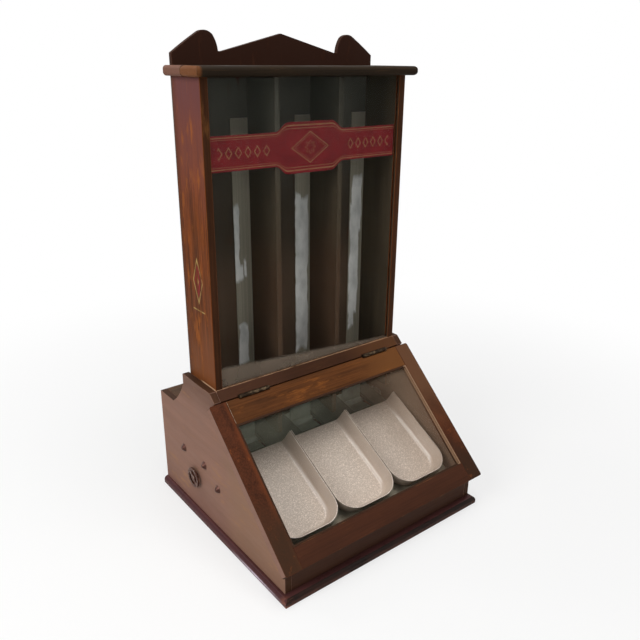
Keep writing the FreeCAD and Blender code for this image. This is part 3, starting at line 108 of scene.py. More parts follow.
class Graph:
    """One node material with a Principled shader, and short calls to fill it."""

    def __init__(self, name, **fixed):
        """fixed gives uniform values of the shader, with _ for the spaces in a name."""
        self.material = bpy.data.materials.new(name)
        self.material.use_nodes = True
        self.tree = self.material.node_tree
        self.shader = self.tree.nodes["Principled BSDF"]
        self.where = self.node("ShaderNodeTexCoord").outputs["Object"]
        for socket, value in fixed.items():
            self.shader.inputs[socket.replace("_", " ")].default_value = value

    def node(self, kind, **settings):
        made = self.tree.nodes.new(kind)
        for key, value in settings.items():
            setattr(made, key, value)
        return made

    def feed(self, socket, value):
        """Links another node's output to a socket, or sets the socket's own value."""
        if isinstance(value, bpy.types.NodeSocket):
            self.tree.links.new(value, socket)
        else:
            socket.default_value = value

    def into(self, name, value):
        """Feeds the Principled shader."""
        self.feed(self.shader.inputs[name], value)

    def placed(self, scale=(1, 1, 1), turn=(0, 0, 0), shift=(0, 0, 0), vector=None):
        mapping = self.node("ShaderNodeMapping")
        self.feed(mapping.inputs["Vector"], vector or self.where)
        self.feed(mapping.inputs["Location"], shift)
        self.feed(mapping.inputs["Rotation"], turn)
        self.feed(mapping.inputs["Scale"], scale)
        return mapping.outputs["Vector"]

    def noise(self, vector, scale=1.0, detail=2.0, rough=0.5, twist=0.0):
        made = self.node("ShaderNodeTexNoise")
        self.feed(made.inputs["Vector"], vector)
        self.feed(made.inputs["Scale"], scale)
        self.feed(made.inputs["Detail"], detail)
        self.feed(made.inputs["Roughness"], rough)
        self.feed(made.inputs["Distortion"], twist)
        return made.outputs["Fac"]

    def cells(self, vector, scale):
        """Distance to the nearest of many scattered points."""
        made = self.node("ShaderNodeTexVoronoi")
        self.feed(made.inputs["Vector"], vector)
        self.feed(made.inputs["Scale"], scale)
        return made.outputs["Distance"]

    def spread(self, value, low, high, to_low=0.0, to_high=1.0, smooth=False):
        """A value between low and high mapped to another range, and held at its ends."""
        made = self.node("ShaderNodeMapRange")
        made.interpolation_type = "SMOOTHSTEP" if smooth else "LINEAR"
        self.feed(made.inputs["Value"], value)
        for socket, level in zip(("From Min", "From Max", "To Min", "To Max"),
                                 (low, high, to_low, to_high)):
            self.feed(made.inputs[socket], level)
        return made.outputs["Result"]

    def maths(self, operation, first, second=0.0, third=0.0):
        made = self.node("ShaderNodeMath", operation=operation)
        for socket, value in zip(made.inputs, (first, second, third)):
            self.feed(socket, value)
        return made.outputs["Value"]

    def add(self, first, second):
        return self.maths("ADD", first, second)

    def less(self, first, second):
        return self.maths("SUBTRACT", first, second)

    def mix(self, share, first, second):
        made = self.node("ShaderNodeMix", data_type="RGBA")
        self.feed(made.inputs["Factor"], share)
        self.feed(made.inputs["A"], first)
        self.feed(made.inputs["B"], second)
        return made.outputs["Result"]

    def axis(self, letter):
        made = self.node("ShaderNodeSeparateXYZ")
        self.feed(made.inputs["Vector"], self.where)
        return made.outputs[letter]

    def facing(self, direction):
        """How squarely the surface faces a direction, from -1 to 1."""
        normal = self.node("ShaderNodeNewGeometry").outputs["Normal"]
        made = self.node("ShaderNodeVectorMath", operation="DOT_PRODUCT")
        self.feed(made.inputs[0], normal)
        self.feed(made.inputs[1], direction)
        return made.outputs["Value"]

    def bump(self, height, strength, deep):
        made = self.node("ShaderNodeBump")
        self.feed(made.inputs["Height"], height)
        self.feed(made.inputs["Strength"], strength)
        self.feed(made.inputs["Distance"], deep)
        self.into("Normal", made.outputs["Normal"])

    # masks, from 0 to 1

    def either(self, *masks):
        joined = masks[0]
        for mask in masks[1:]:
            joined = self.maths("MAXIMUM", joined, mask)
        return joined

    def both(self, *masks):
        joined = masks[0]
        for mask in masks[1:]:
            joined = self.maths("MULTIPLY", joined, mask)
        return joined

    def below(self, value, limit, soft):
        """1 where a value is under a limit; soft is half the width of the change."""
        return self.spread(value, limit - soft, limit + soft, 1.0, 0.0)

    def within(self, value, low, high, soft):
        """1 where a value lies between low and high."""
        return self.both(self.spread(value, low - soft, low + soft),
                         self.below(value, high, soft))

    def away(self, value, centre=0.0):
        return self.maths("ABSOLUTE", self.less(value, centre))

    def far(self, u, v):
        """Distance from the point where u and v are 0."""
        return self.maths("SQRT", self.add(self.both(u, u), self.both(v, v)))

    def lozenge(self, u, v, half_u, half_v):
        """0 at the middle of a lozenge and 1 on its outline."""
        return self.add(self.maths("DIVIDE", self.away(u), half_u),
                        self.maths("DIVIDE", self.away(v), half_v))


# --- wood -----------------------------------------------------------------------------------

# turns that lay a board's grain along X
ALONG = {
    "x": (0.0, 0.0, 0.0),
    "y": (0.0, 0.0, math.radians(90)),
    "z": (0.0, math.radians(90), 0.0),
    "slope": (LID_SLOPE, 0.0, 0.0),
}
SEED_STEP = (0.37, 0.73, 0.51)
# noises of a board: stretch along and across the grain, detail, roughness, distortion
WOOD_NOISES = (
    ((7, 380, 380), 3.0, 0.62, 0.0),  # fine lines
    ((60, 1500, 1500), 1.0, 0.5, 0.0),  # pores
    ((2.2, 30, 30), 3.0, 0.5, 0.8),  # broad figure
    ((9, 16, 16), 3.0, 0.55, 0.0),  # clouds
    ((22, 110, 110), 5.0, 0.68, 0.0),  # rubbed patches
)
SCRATCH = (13, 700, 700)
SCRATCH_TURN = (0.2, 0.15, 0.35)
# weights of the noises in a board's figure; grain moves weight from the clouds to the lines
LINE_SHARE, LEAST_LINE, BROAD_SHARE, CLOUD_SHARE = 0.36, 0.06, 0.33, 0.59
FIGURE_SPREAD = 0.18
DARKER = 1.5  # how much further the figure goes to the dark side than to the light one
PATCH_RUBBED, PATCH_CLOUD = 0.62, 0.38
# levels of a noise where a mark starts and where it is full, and how strong it gets
PORES, PORE_SHARE = (0.58, 0.75), 0.5
SCRATCHES, SCRATCH_SHARE = (0.74, 0.8), 0.35
WORN_LIMIT, WEAR_LOWERS, WORN_SOFT, WORN_SHARE = 0.64, 0.16, 0.09, 0.62
ROUGH_LEVELS, SMOOTHER, ROUGHER = (0.7, 1.3), 0.1, 0.16
ZONE_SWAY = 0.8  # how far a zone's border wanders, as a share of its width
ZONE_FIGURE = 0.25  # how much of the board's figure a zone shows

EDGE_SEED = 11
EDGE_RUBBED = (30, 70, 70)
EDGE_FINE = (9, 420, 420)
EDGE_FINE_SHARE = 0.4
# levels where rubbing starts and is full, and how far a finish's rub lowers them
RUB_LEVELS, RUB_LOWERS = (0.66, 0.78), (0.36, 0.3)


def grain_place(graph, along, seed):
    """Coordinates whose X runs along the grain, shifted so that no two boards match."""
    turned = graph.placed(turn=ALONG[along])
    if along == "slope":
        turned = graph.placed(turn=ALONG["y"], vector=turned)
    return graph.placed(shift=tuple(seed * step for step in SEED_STEP), vector=turned)


class Finish:
    """How one kind of stained board looks.

    mid is its colour, and contrast how far the figure leaves it. worn is the colour of worn
    patches, and wear how many there are. grain is the strength of the grain, rough the
    roughness and shine the specular level. arris is the colour of rubbed edges, and rub the
    share of them that is rubbed."""

    def __init__(self, mid, contrast, worn, wear, grain=1.0, rough=0.5, shine=0.06,
                 arris=(120, 72, 44), rub=0.3):
        self.mid = tone(*mid)
        self.light = tone(*(level * (1 + contrast) for level in mid))
        self.dark = tone(*(level * (1 - DARKER * contrast) for level in mid))
        self.worn, self.wear = tone(*worn), wear
        self.grain, self.rough, self.shine = grain, rough, shine
        self.arris, self.rub = tone(*arris), rub


def wood(name, finish, along, seed, zones=(), paint=None):
    """Old stained and varnished wood.

    zones are (colour, axis, from, to, strength): a tint that grows along an axis."""
    g = Graph(name, Specular_IOR_Level=finish.shine)
    where = grain_place(g, along, seed)
    fine, pores, broad, cloud, rubbed = (
        g.noise(g.placed(scale=stretch, vector=where), 1.0, *settings)
        for stretch, *settings in WOOD_NOISES)
    half = FIGURE_SPREAD / finish.grain
    low, high = NOISE_MEAN - half, NOISE_MEAN + half
    lines = LINE_SHARE * finish.grain
    figure = g.add(g.both(fine, lines + LEAST_LINE),
                   g.add(g.both(broad, BROAD_SHARE), g.both(cloud, CLOUD_SHARE - lines)))
    colour = g.mix(g.spread(figure, low, NOISE_MEAN), finish.dark, finish.mid)
    colour = g.mix(g.spread(figure, NOISE_MEAN, high), colour, finish.light)
    pore = g.spread(pores, *PORES, to_high=PORE_SHARE * finish.grain)
    colour = g.mix(pore, colour, finish.dark)
    for tint, axis, start, end, strength in zones:
        sway = g.both(g.less(cloud, NOISE_MEAN), abs(end - start) * ZONE_SWAY)
        ramp = g.spread(g.add(g.axis(axis), sway), start, end, to_high=strength, smooth=True)
        shaded = g.mix(g.spread(figure, low, high), tone(*tint), finish.mid)
        colour = g.mix(ramp, colour, g.mix(ZONE_FIGURE, tone(*tint), shaded))
    limit = WORN_LIMIT - WEAR_LOWERS * finish.wear
    patch = g.add(g.both(rubbed, PATCH_RUBBED), g.both(cloud, PATCH_CLOUD))
    patch = g.spread(patch, limit, limit + WORN_SOFT, to_high=WORN_SHARE)
    colour = g.mix(patch, colour, finish.worn)
    scratch = g.noise(g.placed(scale=SCRATCH, turn=SCRATCH_TURN, vector=where), detail=1.0)
    scratch = g.spread(scratch, *SCRATCHES, to_high=SCRATCH_SHARE)
    colour = g.mix(scratch, colour, finish.worn)
    if paint:
        colour = paint(g, colour, rubbed)
    g.into("Base Color", colour)
    g.into("Roughness", g.spread(g.add(cloud, rubbed), *ROUGH_LEVELS,
                                 finish.rough - SMOOTHER, finish.rough + ROUGHER))
    g.bump(g.add(g.both(pores, -0.5), g.both(fine, 0.5)), strength=0.14, deep=0.4 * MM)
    return g.material


def worn_edge(name, finish, along, span):
    """The arris of a board, paler where it is rubbed; span limits that to part of an axis."""
    g = Graph(name, Specular_IOR_Level=0.06, Roughness=0.55)
    where = grain_place(g, along, EDGE_SEED)
    rubbed = g.noise(g.placed(scale=EDGE_RUBBED, vector=where), detail=4.0, rough=0.7)
    fine = g.noise(g.placed(scale=EDGE_FINE, vector=where), detail=2.0)
    share = g.spread(rubbed, *(level - finish.rub * lower
                               for level, lower in zip(RUB_LEVELS, RUB_LOWERS)))
    if span:
        axis, low, high = span
        share = g.both(share, g.within(g.axis(axis), low, high, 1.0 * MM))
    colour = g.mix(share, finish.mid, finish.arris)
    plain = g.spread(fine, *MOST, to_high=EDGE_FINE_SHARE)
    g.into("Base Color", g.mix(plain, colour, finish.mid))
    g.bump(fine, strength=0.2, deep=0.3 * MM)
    return g.material


# colour, contrast, worn colour, wear, grain, roughness, shine
SIDE = Finish((128, 96, 82), 0.13, (146, 110, 80), 0.5, 0.5, arris=(84, 56, 42), rub=0.6)
SIDE_EDGE = Finish((66, 42, 28), 0.25, (92, 60, 40), 0.3, 0.8)
TOWER = Finish((98, 50, 20), 0.36, (148, 84, 34), 0.5, 1.3, 0.4, 0.04,
               arris=(112, 66, 36), rub=0.5)
TOWER_FRONT = Finish((62, 35, 18), 0.25, (110, 70, 36), 0.35)
FRAME = Finish((76, 40, 23), 0.3, (134, 72, 36), 0.45, arris=(60, 34, 22), rub=0.4)
# painted sheen: the lid stile's left face gets the paler pinkish tone of a face that catches
# the light from the left
FRAME_LEFT_PAINTED_SHEEN = Finish((128, 97, 84), 0.1, (100, 70, 54), 0.3, 0.5)
LOW_FRAME = Finish((66, 37, 24), 0.22, (100, 58, 36), 0.35, 0.8, arris=(120, 76, 48))
RAIL = Finish((86, 50, 24), 0.34, (140, 82, 36), 0.55, arris=(60, 34, 20))
HINGE_RAIL = Finish((56, 33, 20), 0.22, (104, 70, 44), 0.35, 0.8,
                    arris=(190, 150, 116), rub=0.9)
FRONT_RAIL = Finish((66, 42, 31), 0.2, (88, 58, 42), 0.25, 0.8)
CREST = Finish((53, 30, 19), 0.24, (76, 43, 27), 0.35, 0.6, arris=(84, 52, 36))
BACK = Finish((62, 38, 24), 0.3, (92, 58, 38), 0.4)
TOP = Finish((38, 28, 18), 0.3, (84, 60, 38), 0.25, 0.9, arris=(120, 92, 64), rub=0.4)
DECK = Finish((88, 64, 46), 0.28, (136, 104, 74), 0.5)
INNER = Finish((70, 61, 48), 0.2, (88, 64, 46), 0.25, 0.8, arris=(60, 50, 40))
# painted light: the tray bed's tone is set well above its own, to lift it where the lid frame
# shades it
BED_PAINTED_LIGHT = Finish((150, 142, 124), 0.14, (164, 156, 134), 0.2, 0.6)
BASE_INNER = Finish((116, 92, 76), 0.14, (136, 106, 84), 0.3, 0.6)
CHUTE = Finish((80, 82, 76), 0.16, (108, 108, 96), 0.3, 0.6)
PLINTH = Finish((84, 50, 48), 0.25, (128, 84, 70), 0.35, 0.6, 0.3, 0.1,
                arris=(110, 76, 66), rub=0.2)
# a dark stain like the rails, kept dark so that the bead also paints the shade line under the
# lid's top rail
BEAD = Finish((60, 40, 28), 0.2, (84, 58, 40), 0.2, 0.7)

SIDE_EDGES = ((MINUS_Y, SIDE_EDGE), (LID_OUT, SIDE_EDGE), (UP, SIDE_EDGE))

# node: finish, direction of the grain, bevel in mm, record slot, finishes of single sides
BOARDS = {
    "plinth": (PLINTH, "x", 0.5, "dark_wood", ()),
    "base_side_left": (SIDE, "y", 0.6, "side_wood", ((X, BASE_INNER), *SIDE_EDGES)),
    "base_side_right": (SIDE, "y", 0.6, "side_wood", ((MINUS_X, BASE_INNER), *SIDE_EDGES)),
    "base_front_rail": (FRONT_RAIL, "x", 0.6, "frame_wood", ()),
    "base_back": (SIDE, "x", 0.6, "inner_wood", ((MINUS_Y, BASE_INNER),)),
    "rear_deck": (DECK, "x", 0.6, "deck_wood", ()),
    "tray_bed": (BED_PAINTED_LIGHT, "x", 0.4, "inner_wood", ()),
    "cross_rail": (CHUTE, "x", 0.4, "inner_wood", ()),
    "chute_floor": (CHUTE, "x", 0.3, "inner_wood", ()),
    "hinge_rail": (HINGE_RAIL, "x", 0.7, "frame_wood", ()),
    "tower_side_left": (TOWER, "z", 0.8, "tower_wood", ((X, INNER), (MINUS_Y, TOWER_FRONT))),
    "tower_side_right": (TOWER, "z", 0.8, "tower_wood",
                         ((MINUS_X, INNER), (MINUS_Y, TOWER_FRONT))),
    "tower_back": (CREST, "z", 0.7, "dark_wood", ((Y, BACK),)),
    "lane_partition_left": (INNER, "z", 0.5, "inner_wood", ()),
    "lane_partition_right": (INNER, "z", 0.5, "inner_wood", ()),
    "top_board": (TOP, "x", 0.3, "tower_wood", ()),
    "loading_flap": (TOP, "x", 0.3, "tower_wood", ()),
    "lid_stile_left": (FRAME, "slope", 0.8, "frame_wood", ((MINUS_X, FRAME_LEFT_PAINTED_SHEEN),)),
    "lid_stile_right": (FRAME, "slope", 0.8, "frame_wood", ()),
    "lid_rail_bottom": (LOW_FRAME, "x", 0.8, "frame_wood", ()),
    "lid_rail_top": (RAIL, "x", 0.8, "frame_wood", ()),
    "lid_bead": (BEAD, "x", 0.3, "bead_wood", ()),
}

# tints that grow along an axis: colour, axis, from, to, strength
ZONES = {
    # the first two tints are painted reflection: a purple sheen towards the top of the side
    "tower_side_left": (((104, 60, 54), "Z", 0.50, 0.66, 0.85),
                        ((90, 58, 64), "Z", 0.64, 0.7, 0.45),
                        ((112, 66, 36), "Z", 0.42, 0.27, 0.7),
                        ((74, 40, 24), "Y", 0.08, 0.098, 0.7)),
    # the grey tint from 0.5 to 0.7 up is painted reflection, standing in for the glass's
    # reflection over the lanes
    "tower_back": (((64, 58, 48), "Z", 0.724, 0.714, 1.0),
                   ((88, 71, 56), "Z", 0.5, 0.36, 0.75),
                   ((88, 88, 80), "Z", 0.5, 0.7, 0.95),
                   ((48, 26, 17), "Z", 0.712, 0.718, 1.0)),
    # the grey tints at the top of both partitions are painted reflection, like the one on the
    # back
    "lane_partition_left": (((88, 64, 48), "Z", 0.52, 0.4, 0.7),
                            ((74, 74, 66), "Z", 0.5, 0.7, 0.95)),
    "lane_partition_right": (((80, 56, 40), "Z", 0.52, 0.4, 0.7),
                             ((58, 58, 51), "Z", 0.5, 0.7, 0.95)),
    "base_side_left": (((112, 78, 68), "Z", 0.07, 0.01, 0.6),
                       ((92, 68, 56), "Z", 0.2, 0.25, 0.8),
                       ((128, 100, 74), "Y", 0.0, -0.06, 0.4)),
    "lid_stile_left": (((128, 66, 34), "X", -0.19, -0.182, 0.35),
                       ((58, 40, 27), "Z", 0.15, 0.09, 0.85)),
    "lid_stile_right": (((104, 72, 50), "Z", 0.12, 0.2, 0.8),
                        ((46, 31, 21), "Z", 0.13, 0.08, 0.9)),
    "lid_rail_top": (((112, 70, 36), "X", 0.05, 0.15, 0.8),),
    "hinge_rail": (((74, 46, 32), "X", -0.04, -0.12, 0.7),
                   ((92, 58, 34), "X", 0.05, 0.14, 0.8)),
    "lid_bead": (((150, 118, 92), "X", 0.1725, 0.177, 1.0),),
    # painted highlight: the left end of the top board is paler and pinker
    "top_board": (((116, 80, 66), "X", -0.178, -0.186, 0.9),),
    "loading_flap": (((112, 68, 38), "X", -0.19, -0.196, 0.9),),
    "base_front_rail": (((84, 60, 44), "Z", 0.03, 0.06, 0.6),),
}
# where an arris is rubbed, when that is not everywhere: axis, from, to
RUBBED = {"hinge_rail": ("Z", 0.2575, 0.262), "base_side_left": ("Z", 0.256, 0.262)}

# --- paint and marks on single boards -------------------------------------------------------

GILT = tone(160, 132, 78)
OLD_RED = tone(120, 34, 36)
LINE_SOFT = 0.3 * MM
ORNAMENT_Y, ORNAMENT_Z = 0.053, 0.428
ORNAMENT_HALF = (15 * MM, 37 * MM)
# parts of the lozenge, as shares of its size: up to, soft, or from, to, soft
FIELD, OUTLINE, DOT = (0.72, 0.04), (0.84, 1.0, 0.03), (0.2, 0.03)
BAR_HALF = 19 * MM
BAR_FOOT, BAR_TOP = -48 * MM, -46 * MM
JOINT_WORN = tone(196, 160, 126)
JOINT_Z, JOINT_Z_SOFT = (0.25, 0.2608), 0.5 * MM
JOINT_Y, JOINT_Y_SOFT = (0.014, 0.06), 4 * MM
# levels of the rubbing, and what they leave of the paint and bring out of the joint
PAINT_LEFT, JOINT_SHOWS = (0.62, 0.5, 0.1, 0.9), (0.4, 0.5, 0.3, 0.95)

PLINTH_SIDE = tone(60, 30, 34)
# painted highlight: a pale streak low on the round of the plinth's left edge
PLINTH_PAINTED_HIGHLIGHT = tone(236, 220, 238)
# painted shade: the top of the plinth's front, under the overhanging lid
PLINTH_PAINTED_SHADE = tone(22, 14, 10)
PLINTH_FRONT = (tone(44, 28, 22), tone(84, 50, 40))
PLINTH_CHIP = tone(142, 88, 66)
# how squarely a face must look to the left or the front to take a tint
SIDE_FROM, SIDE_FADES, PALE_FROM, FRONT_FROM = (0.35, 0.7), (0.7, 0.98), (0.9, 0.98), (0.1, 0.5)
SIDE_SHARE, SIDE_FLAT_SHARE, HIGHLIGHT_SHARE, SHADE_SHARE, CHIP_SHARE = 0.8, 0.35, 0.9, 0.8, 0.8
PALE_Z, PALE_Z_SOFT = (3 * MM, 6 * MM), 1.5 * MM
PALE_Y, PALE_Y_SOFT = (-0.15, -0.08), 40 * MM
FRONT_SHADE_Z = (3 * MM, 9 * MM)
CHIP_REACH = (26 * MM, 6 * MM)

FILLER = tone(168, 148, 128)
FILLER_X = -0.1803
FILLER_HALF, FILLER_SOFT = 0.9 * MM, 0.2 * MM

NAIL_HOLE = tone(44, 24, 18)
NAIL_Y, NAIL_Z = -0.163, 0.0596
NAIL_RADII, NAIL_SHARE = (1.4 * MM, 2.4 * MM), 0.9


def side_ornament(g, colour, rubbed):
    """A small painted lozenge with a gilt outline and a gilt bar, half rubbed away, and a
    worn line where the side stands on the base."""
    along = g.less(g.axis("Y"), ORNAMENT_Y)
    high = g.less(g.axis("Z"), ORNAMENT_Z)
    left = g.spread(rubbed, *PAINT_LEFT)
    ring = g.lozenge(along, high, *ORNAMENT_HALF)
    colour = g.mix(g.both(g.below(ring, *FIELD), left), colour, OLD_RED)
    bar = g.both(g.below(g.away(along), BAR_HALF, LINE_SOFT),
                 g.within(high, BAR_FOOT, BAR_TOP, LINE_SOFT))
    gilt = g.either(g.within(ring, *OUTLINE), g.below(ring, *DOT), bar)
    colour = g.mix(g.both(gilt, left), colour, GILT)
    joint = g.both(g.within(g.axis("Z"), *JOINT_Z, JOINT_Z_SOFT),
                   g.within(g.axis("Y"), *JOINT_Y, JOINT_Y_SOFT))
    return g.mix(g.both(joint, g.spread(rubbed, *JOINT_SHOWS)), colour, JOINT_WORN)


def plinth_marks_and_painted_light(g, colour, rubbed):
    """A dark left side with a painted highlight streak, a front in a darker stain that turns
    nearly black towards its top as painted shade, and a chipped corner between the two."""
    left = g.facing(MINUS_X)
    side = g.both(g.spread(left, *SIDE_FROM, smooth=True),
                  g.spread(left, *SIDE_FADES, 1.0, SIDE_FLAT_SHARE))
    colour = g.mix(g.both(side, SIDE_SHARE), colour, PLINTH_SIDE)
    # painted highlight: a pale streak low on the left side, towards the front
    pale = g.both(g.spread(left, *PALE_FROM), g.within(g.axis("Z"), *PALE_Z, PALE_Z_SOFT),
                  g.within(g.axis("Y"), *PALE_Y, PALE_Y_SOFT),
                  g.spread(rubbed, 0.3, 0.55, 0.6, 1.0))
    colour = g.mix(g.both(pale, HIGHLIGHT_SHARE), colour, PLINTH_PAINTED_HIGHLIGHT)
    front = g.spread(g.facing(MINUS_Y), *FRONT_FROM, smooth=True)
    # painted shade: the front goes nearly black towards its top, where the lid overhangs it
    high = g.spread(g.axis("Z"), *FRONT_SHADE_Z, to_high=SHADE_SHARE)
    worn = g.mix(g.spread(rubbed, 0.4, 0.62), *PLINTH_FRONT)
    colour = g.mix(front, colour, g.mix(high, worn, PLINTH_PAINTED_SHADE))
    corner = g.add(g.away(g.axis("X"), CAD_BOX[0].x), g.away(g.axis("Y"), CAD_BOX[0].y))
    chipped = g.both(g.spread(corner, *CHIP_REACH), g.spread(rubbed, 0.42, 0.52))
    return g.mix(g.both(chipped, CHIP_SHARE), colour, PLINTH_CHIP)


def filler_line(g, colour, rubbed):
    """Pale filler in the joint between the lid's top rail and its left stile."""
    line = g.both(g.below(g.away(g.axis("X"), FILLER_X), FILLER_HALF, FILLER_SOFT),
                  g.spread(rubbed, 0.42, 0.5, 0.2, 0.9))
    return g.mix(line, colour, FILLER)


def nail_hole(g, colour, _):
    """A small dark hole in the left side, near its front corner."""
    far = g.far(g.away(g.axis("Y"), NAIL_Y), g.away(g.axis("Z"), NAIL_Z))
    return g.mix(g.spread(far, *NAIL_RADII, NAIL_SHARE, 0.0), colour, NAIL_HOLE)


PAINT = {"tower_side_left": side_ornament, "plinth": plinth_marks_and_painted_light,
         "lid_rail_top": filler_line, "base_side_left": nail_hole}

# --- boards ---------------------------------------------------------------------------------

WELD = 0.002 * MM
FLAT_WITHIN = math.radians(0.6)
BEVEL_FROM = math.radians(40)
BEVEL_PROFILE = 0.6
SAME_WAY = 0.9  # cosine from which a face counts as facing a direction
SIDE_SEED = 40  # added to a board's seed for its single sides


def linked(name, data):
    piece = bpy.data.objects.new(name, data)
    bpy.context.scene.collection.objects.link(piece)
    return piece


def bevelled(node, wide, materials, sides):
    """A copy of a CAD node's mesh with its arrises eased.

    Its faces take material 0, its bevels material 1, and single sides the materials after."""
    mesh = bmesh.new()
    mesh.from_mesh(NODES[node].data)
    for face in mesh.faces:
        face.material_index = 0
    bmesh.ops.remove_doubles(mesh, verts=mesh.verts, dist=WELD)
    bmesh.ops.dissolve_limit(mesh, angle_limit=FLAT_WITHIN, verts=mesh.verts, edges=mesh.edges)
    sharp = [edge for edge in mesh.edges
             if len(edge.link_faces) == 2 and edge.calc_face_angle() > BEVEL_FROM]
    bmesh.ops.bevel(mesh, geom=sharp, offset=wide, segments=2, profile=BEVEL_PROFILE,
                    affect="EDGES", material=1, clamp_overlap=False)
    for face in mesh.faces:
        face.smooth = True
        if face.material_index == 0:
            for index, (direction, _) in enumerate(sides):
                if face.normal.dot(direction) > SAME_WAY:
                    face.material_index = 2 + index
    data = bpy.data.meshes.new(node + "_board")
    mesh.to_mesh(data)
    mesh.free()
    for material in materials:
        data.materials.append(material)
    piece = linked(node + "_board", data)
    piece.modifiers.new("even", "WEIGHTED_NORMAL").keep_sharp = True
    return piece


for seed, (node, (finish, along, wide, slot, sides)) in enumerate(BOARDS.items()):
    face = wood(node + "_wood", finish, along, seed, ZONES.get(node, ()), PAINT.get(node))
    edge = worn_edge(node + "_edge", finish, along, RUBBED.get(node))
    others = [wood(f"{node}_side{index}", side, along, seed + SIDE_SEED)
              for index, (_, side) in enumerate(sides)]
    piece = bevelled(node, wide * MM, (face, edge, *others), sides)
    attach(piece, NODES[node]["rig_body"])
    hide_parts(node)

# --- metals, enamel, guide strips and glass -------------------------------------------------

# levels where dullness starts and is full, and how far grime lowers them
DULL_LEVELS, GRIME_LOWERS = (0.55, 0.72), (0.4, 0.3)
FINE_TO_PATCH = 9
DULL_ROUGHER = 0.25


def metal(name, bright, dull, rough, grime=0.3, scale=90.0, metallic=1.0):
    """Metal with dull patches; grime is how much of it they cover, scale how small they are."""
    g = Graph(name, Metallic=metallic)
    patch = g.noise(g.where, scale, detail=4.0, rough=0.6)
    fine = g.noise(g.where, scale * FINE_TO_PATCH, detail=2.0)
    dulled = g.spread(patch, *(level - grime * lower
                               for level, lower in zip(DULL_LEVELS, GRIME_LOWERS)))
    g.into("Base Color", g.mix(dulled, bright, dull))
    g.into("Roughness", g.spread(patch, *NEARLY_ALL, rough, rough + DULL_ROUGHER))
    g.bump(fine, strength=0.12, deep=0.2 * MM)
    return g.material


TRAY_SIDE = (tone(182, 165, 150), tone(194, 177, 162))
TRAY_FLOOR = (tone(188, 171, 155), tone(238, 222, 207))
FLOOR_FACING = (0.88, 0.985)  # how squarely the floor looks up from the tray's slope
FLECK_SCALE, WOBBLE_SCALE, TRAY_BROAD_SCALE = 620.0, 420.0, 16.0
FLECK_WEIGHT, WOBBLE_WEIGHT = -0.55, 0.9
FLECK_LEVELS = (0.14, 0.42)
TRAY_ROUGH = (0.16, 0.4)  # on the sides and on the floor


def tray_enamel():
    """Grey-white tray: a pale floor with fine low flecks, and smooth bright sides."""
    g = Graph("tray_enamel", Specular_IOR_Level=0.75)
    floor = g.spread(g.facing(TRAY_UP), *FLOOR_FACING)
    flecks = g.cells(g.where, FLECK_SCALE)
    wobble = g.noise(g.where, WOBBLE_SCALE, detail=3.0, rough=0.6)
    broad = g.noise(g.where, TRAY_BROAD_SCALE, detail=3.0)
    fleck = g.add(g.both(wobble, WOBBLE_WEIGHT), g.both(flecks, FLECK_WEIGHT))
    fleck = g.spread(fleck, *FLECK_LEVELS)
    fleck = g.both(fleck, g.spread(broad, 0.3, 0.6, 0.6, 1.0))
    smooth = g.mix(g.spread(broad, *MOST), *TRAY_SIDE)
    g.into("Base Color", g.mix(floor, smooth, g.mix(fleck, *TRAY_FLOOR)))
    g.into("Roughness", g.spread(floor, 0.0, 1.0, *TRAY_ROUGH))
    g.bump(g.both(fleck, floor), strength=0.15, deep=0.2 * MM)
    return g.material


STRIP_DULL = (tone(130, 125, 110), tone(153, 147, 130))
# painted reflection: the bright tone of the clear patches
STRIP_PAINTED_REFLECTION = (tone(190, 191, 186), tone(226, 226, 221))
STRIP_ROUGH = (0.35, 0.6)
STRIP_CLOUD = (40, 40, 22)
STRIP_RIBS = (900, 10, 1.5)
STRIP_SWAY = 34 * MM  # how far the outline of a clear patch wanders in height
SWAY_ACROSS = 0.35
PATCH_SIDE_SOFT, PATCH_END_SOFT = 0.8 * MM, 4 * MM


def strip_mirror(name, patches):
    """Polished guide strip: clouded grey, with bright patches of painted reflection where it is
    still clear.

    patches are (left, right, foot, top) in metres."""
    g = Graph(name, Specular_IOR_Level=MATT)
    cloud = g.noise(g.placed(scale=STRIP_CLOUD), detail=3.0, rough=0.6)
    ribs = g.noise(g.placed(scale=STRIP_RIBS), detail=1.0)
    sway = g.both(g.less(cloud, NOISE_MEAN), STRIP_SWAY)
    across, height = g.add(g.axis("X"), g.both(sway, SWAY_ACROSS)), g.add(g.axis("Z"), sway)
    clear = g.either(*[g.both(g.within(across, left, right, PATCH_SIDE_SOFT),
                              g.within(height, foot, top, PATCH_END_SOFT))
                       for left, right, foot, top in patches])
    dull = g.mix(g.spread(ribs, *MOST), *STRIP_DULL)
    # painted reflection on the clear patches
    reflecting = g.mix(g.spread(cloud, 0.3, 0.6), *STRIP_PAINTED_REFLECTION)
    g.into("Base Color", g.mix(clear, dull, reflecting))
    g.into("Roughness", g.spread(cloud, *NEARLY_ALL, *STRIP_ROUGH))
    return g.material


def pane(name, film):
    """Clear glass whose opacity is a thin film of dust and painted reflection; film gives its
    colour and its share.
    """
    g = Graph(name, Roughness=0.6, Specular_IOR_Level=MATT)
    colour, share = film(g)
    g.into("Base Color", colour)
    g.into("Alpha", share)
    return g.material


DUST_SCALE = 24.0
# tower glass: the line of the dust and painted reflection at the foot, the painted reflection
# at the top, and their shares
FOOT_LINE_X, FOOT_LINE_Z = (-0.17, 0.17), (0.292, 0.262)
FOOT_FADES = (-4 * MM, 3 * MM)
HEAD_Z, HEAD_X = (0.45, 0.7), (0.06, 0.15)
# the foot's colour is dust that also paints the hinge rail's reflection; elsewhere plain dust
FOOT_DUST_AND_REFLECTION, CLEAR_DUST = tone(118, 104, 90), tone(52, 46, 40)
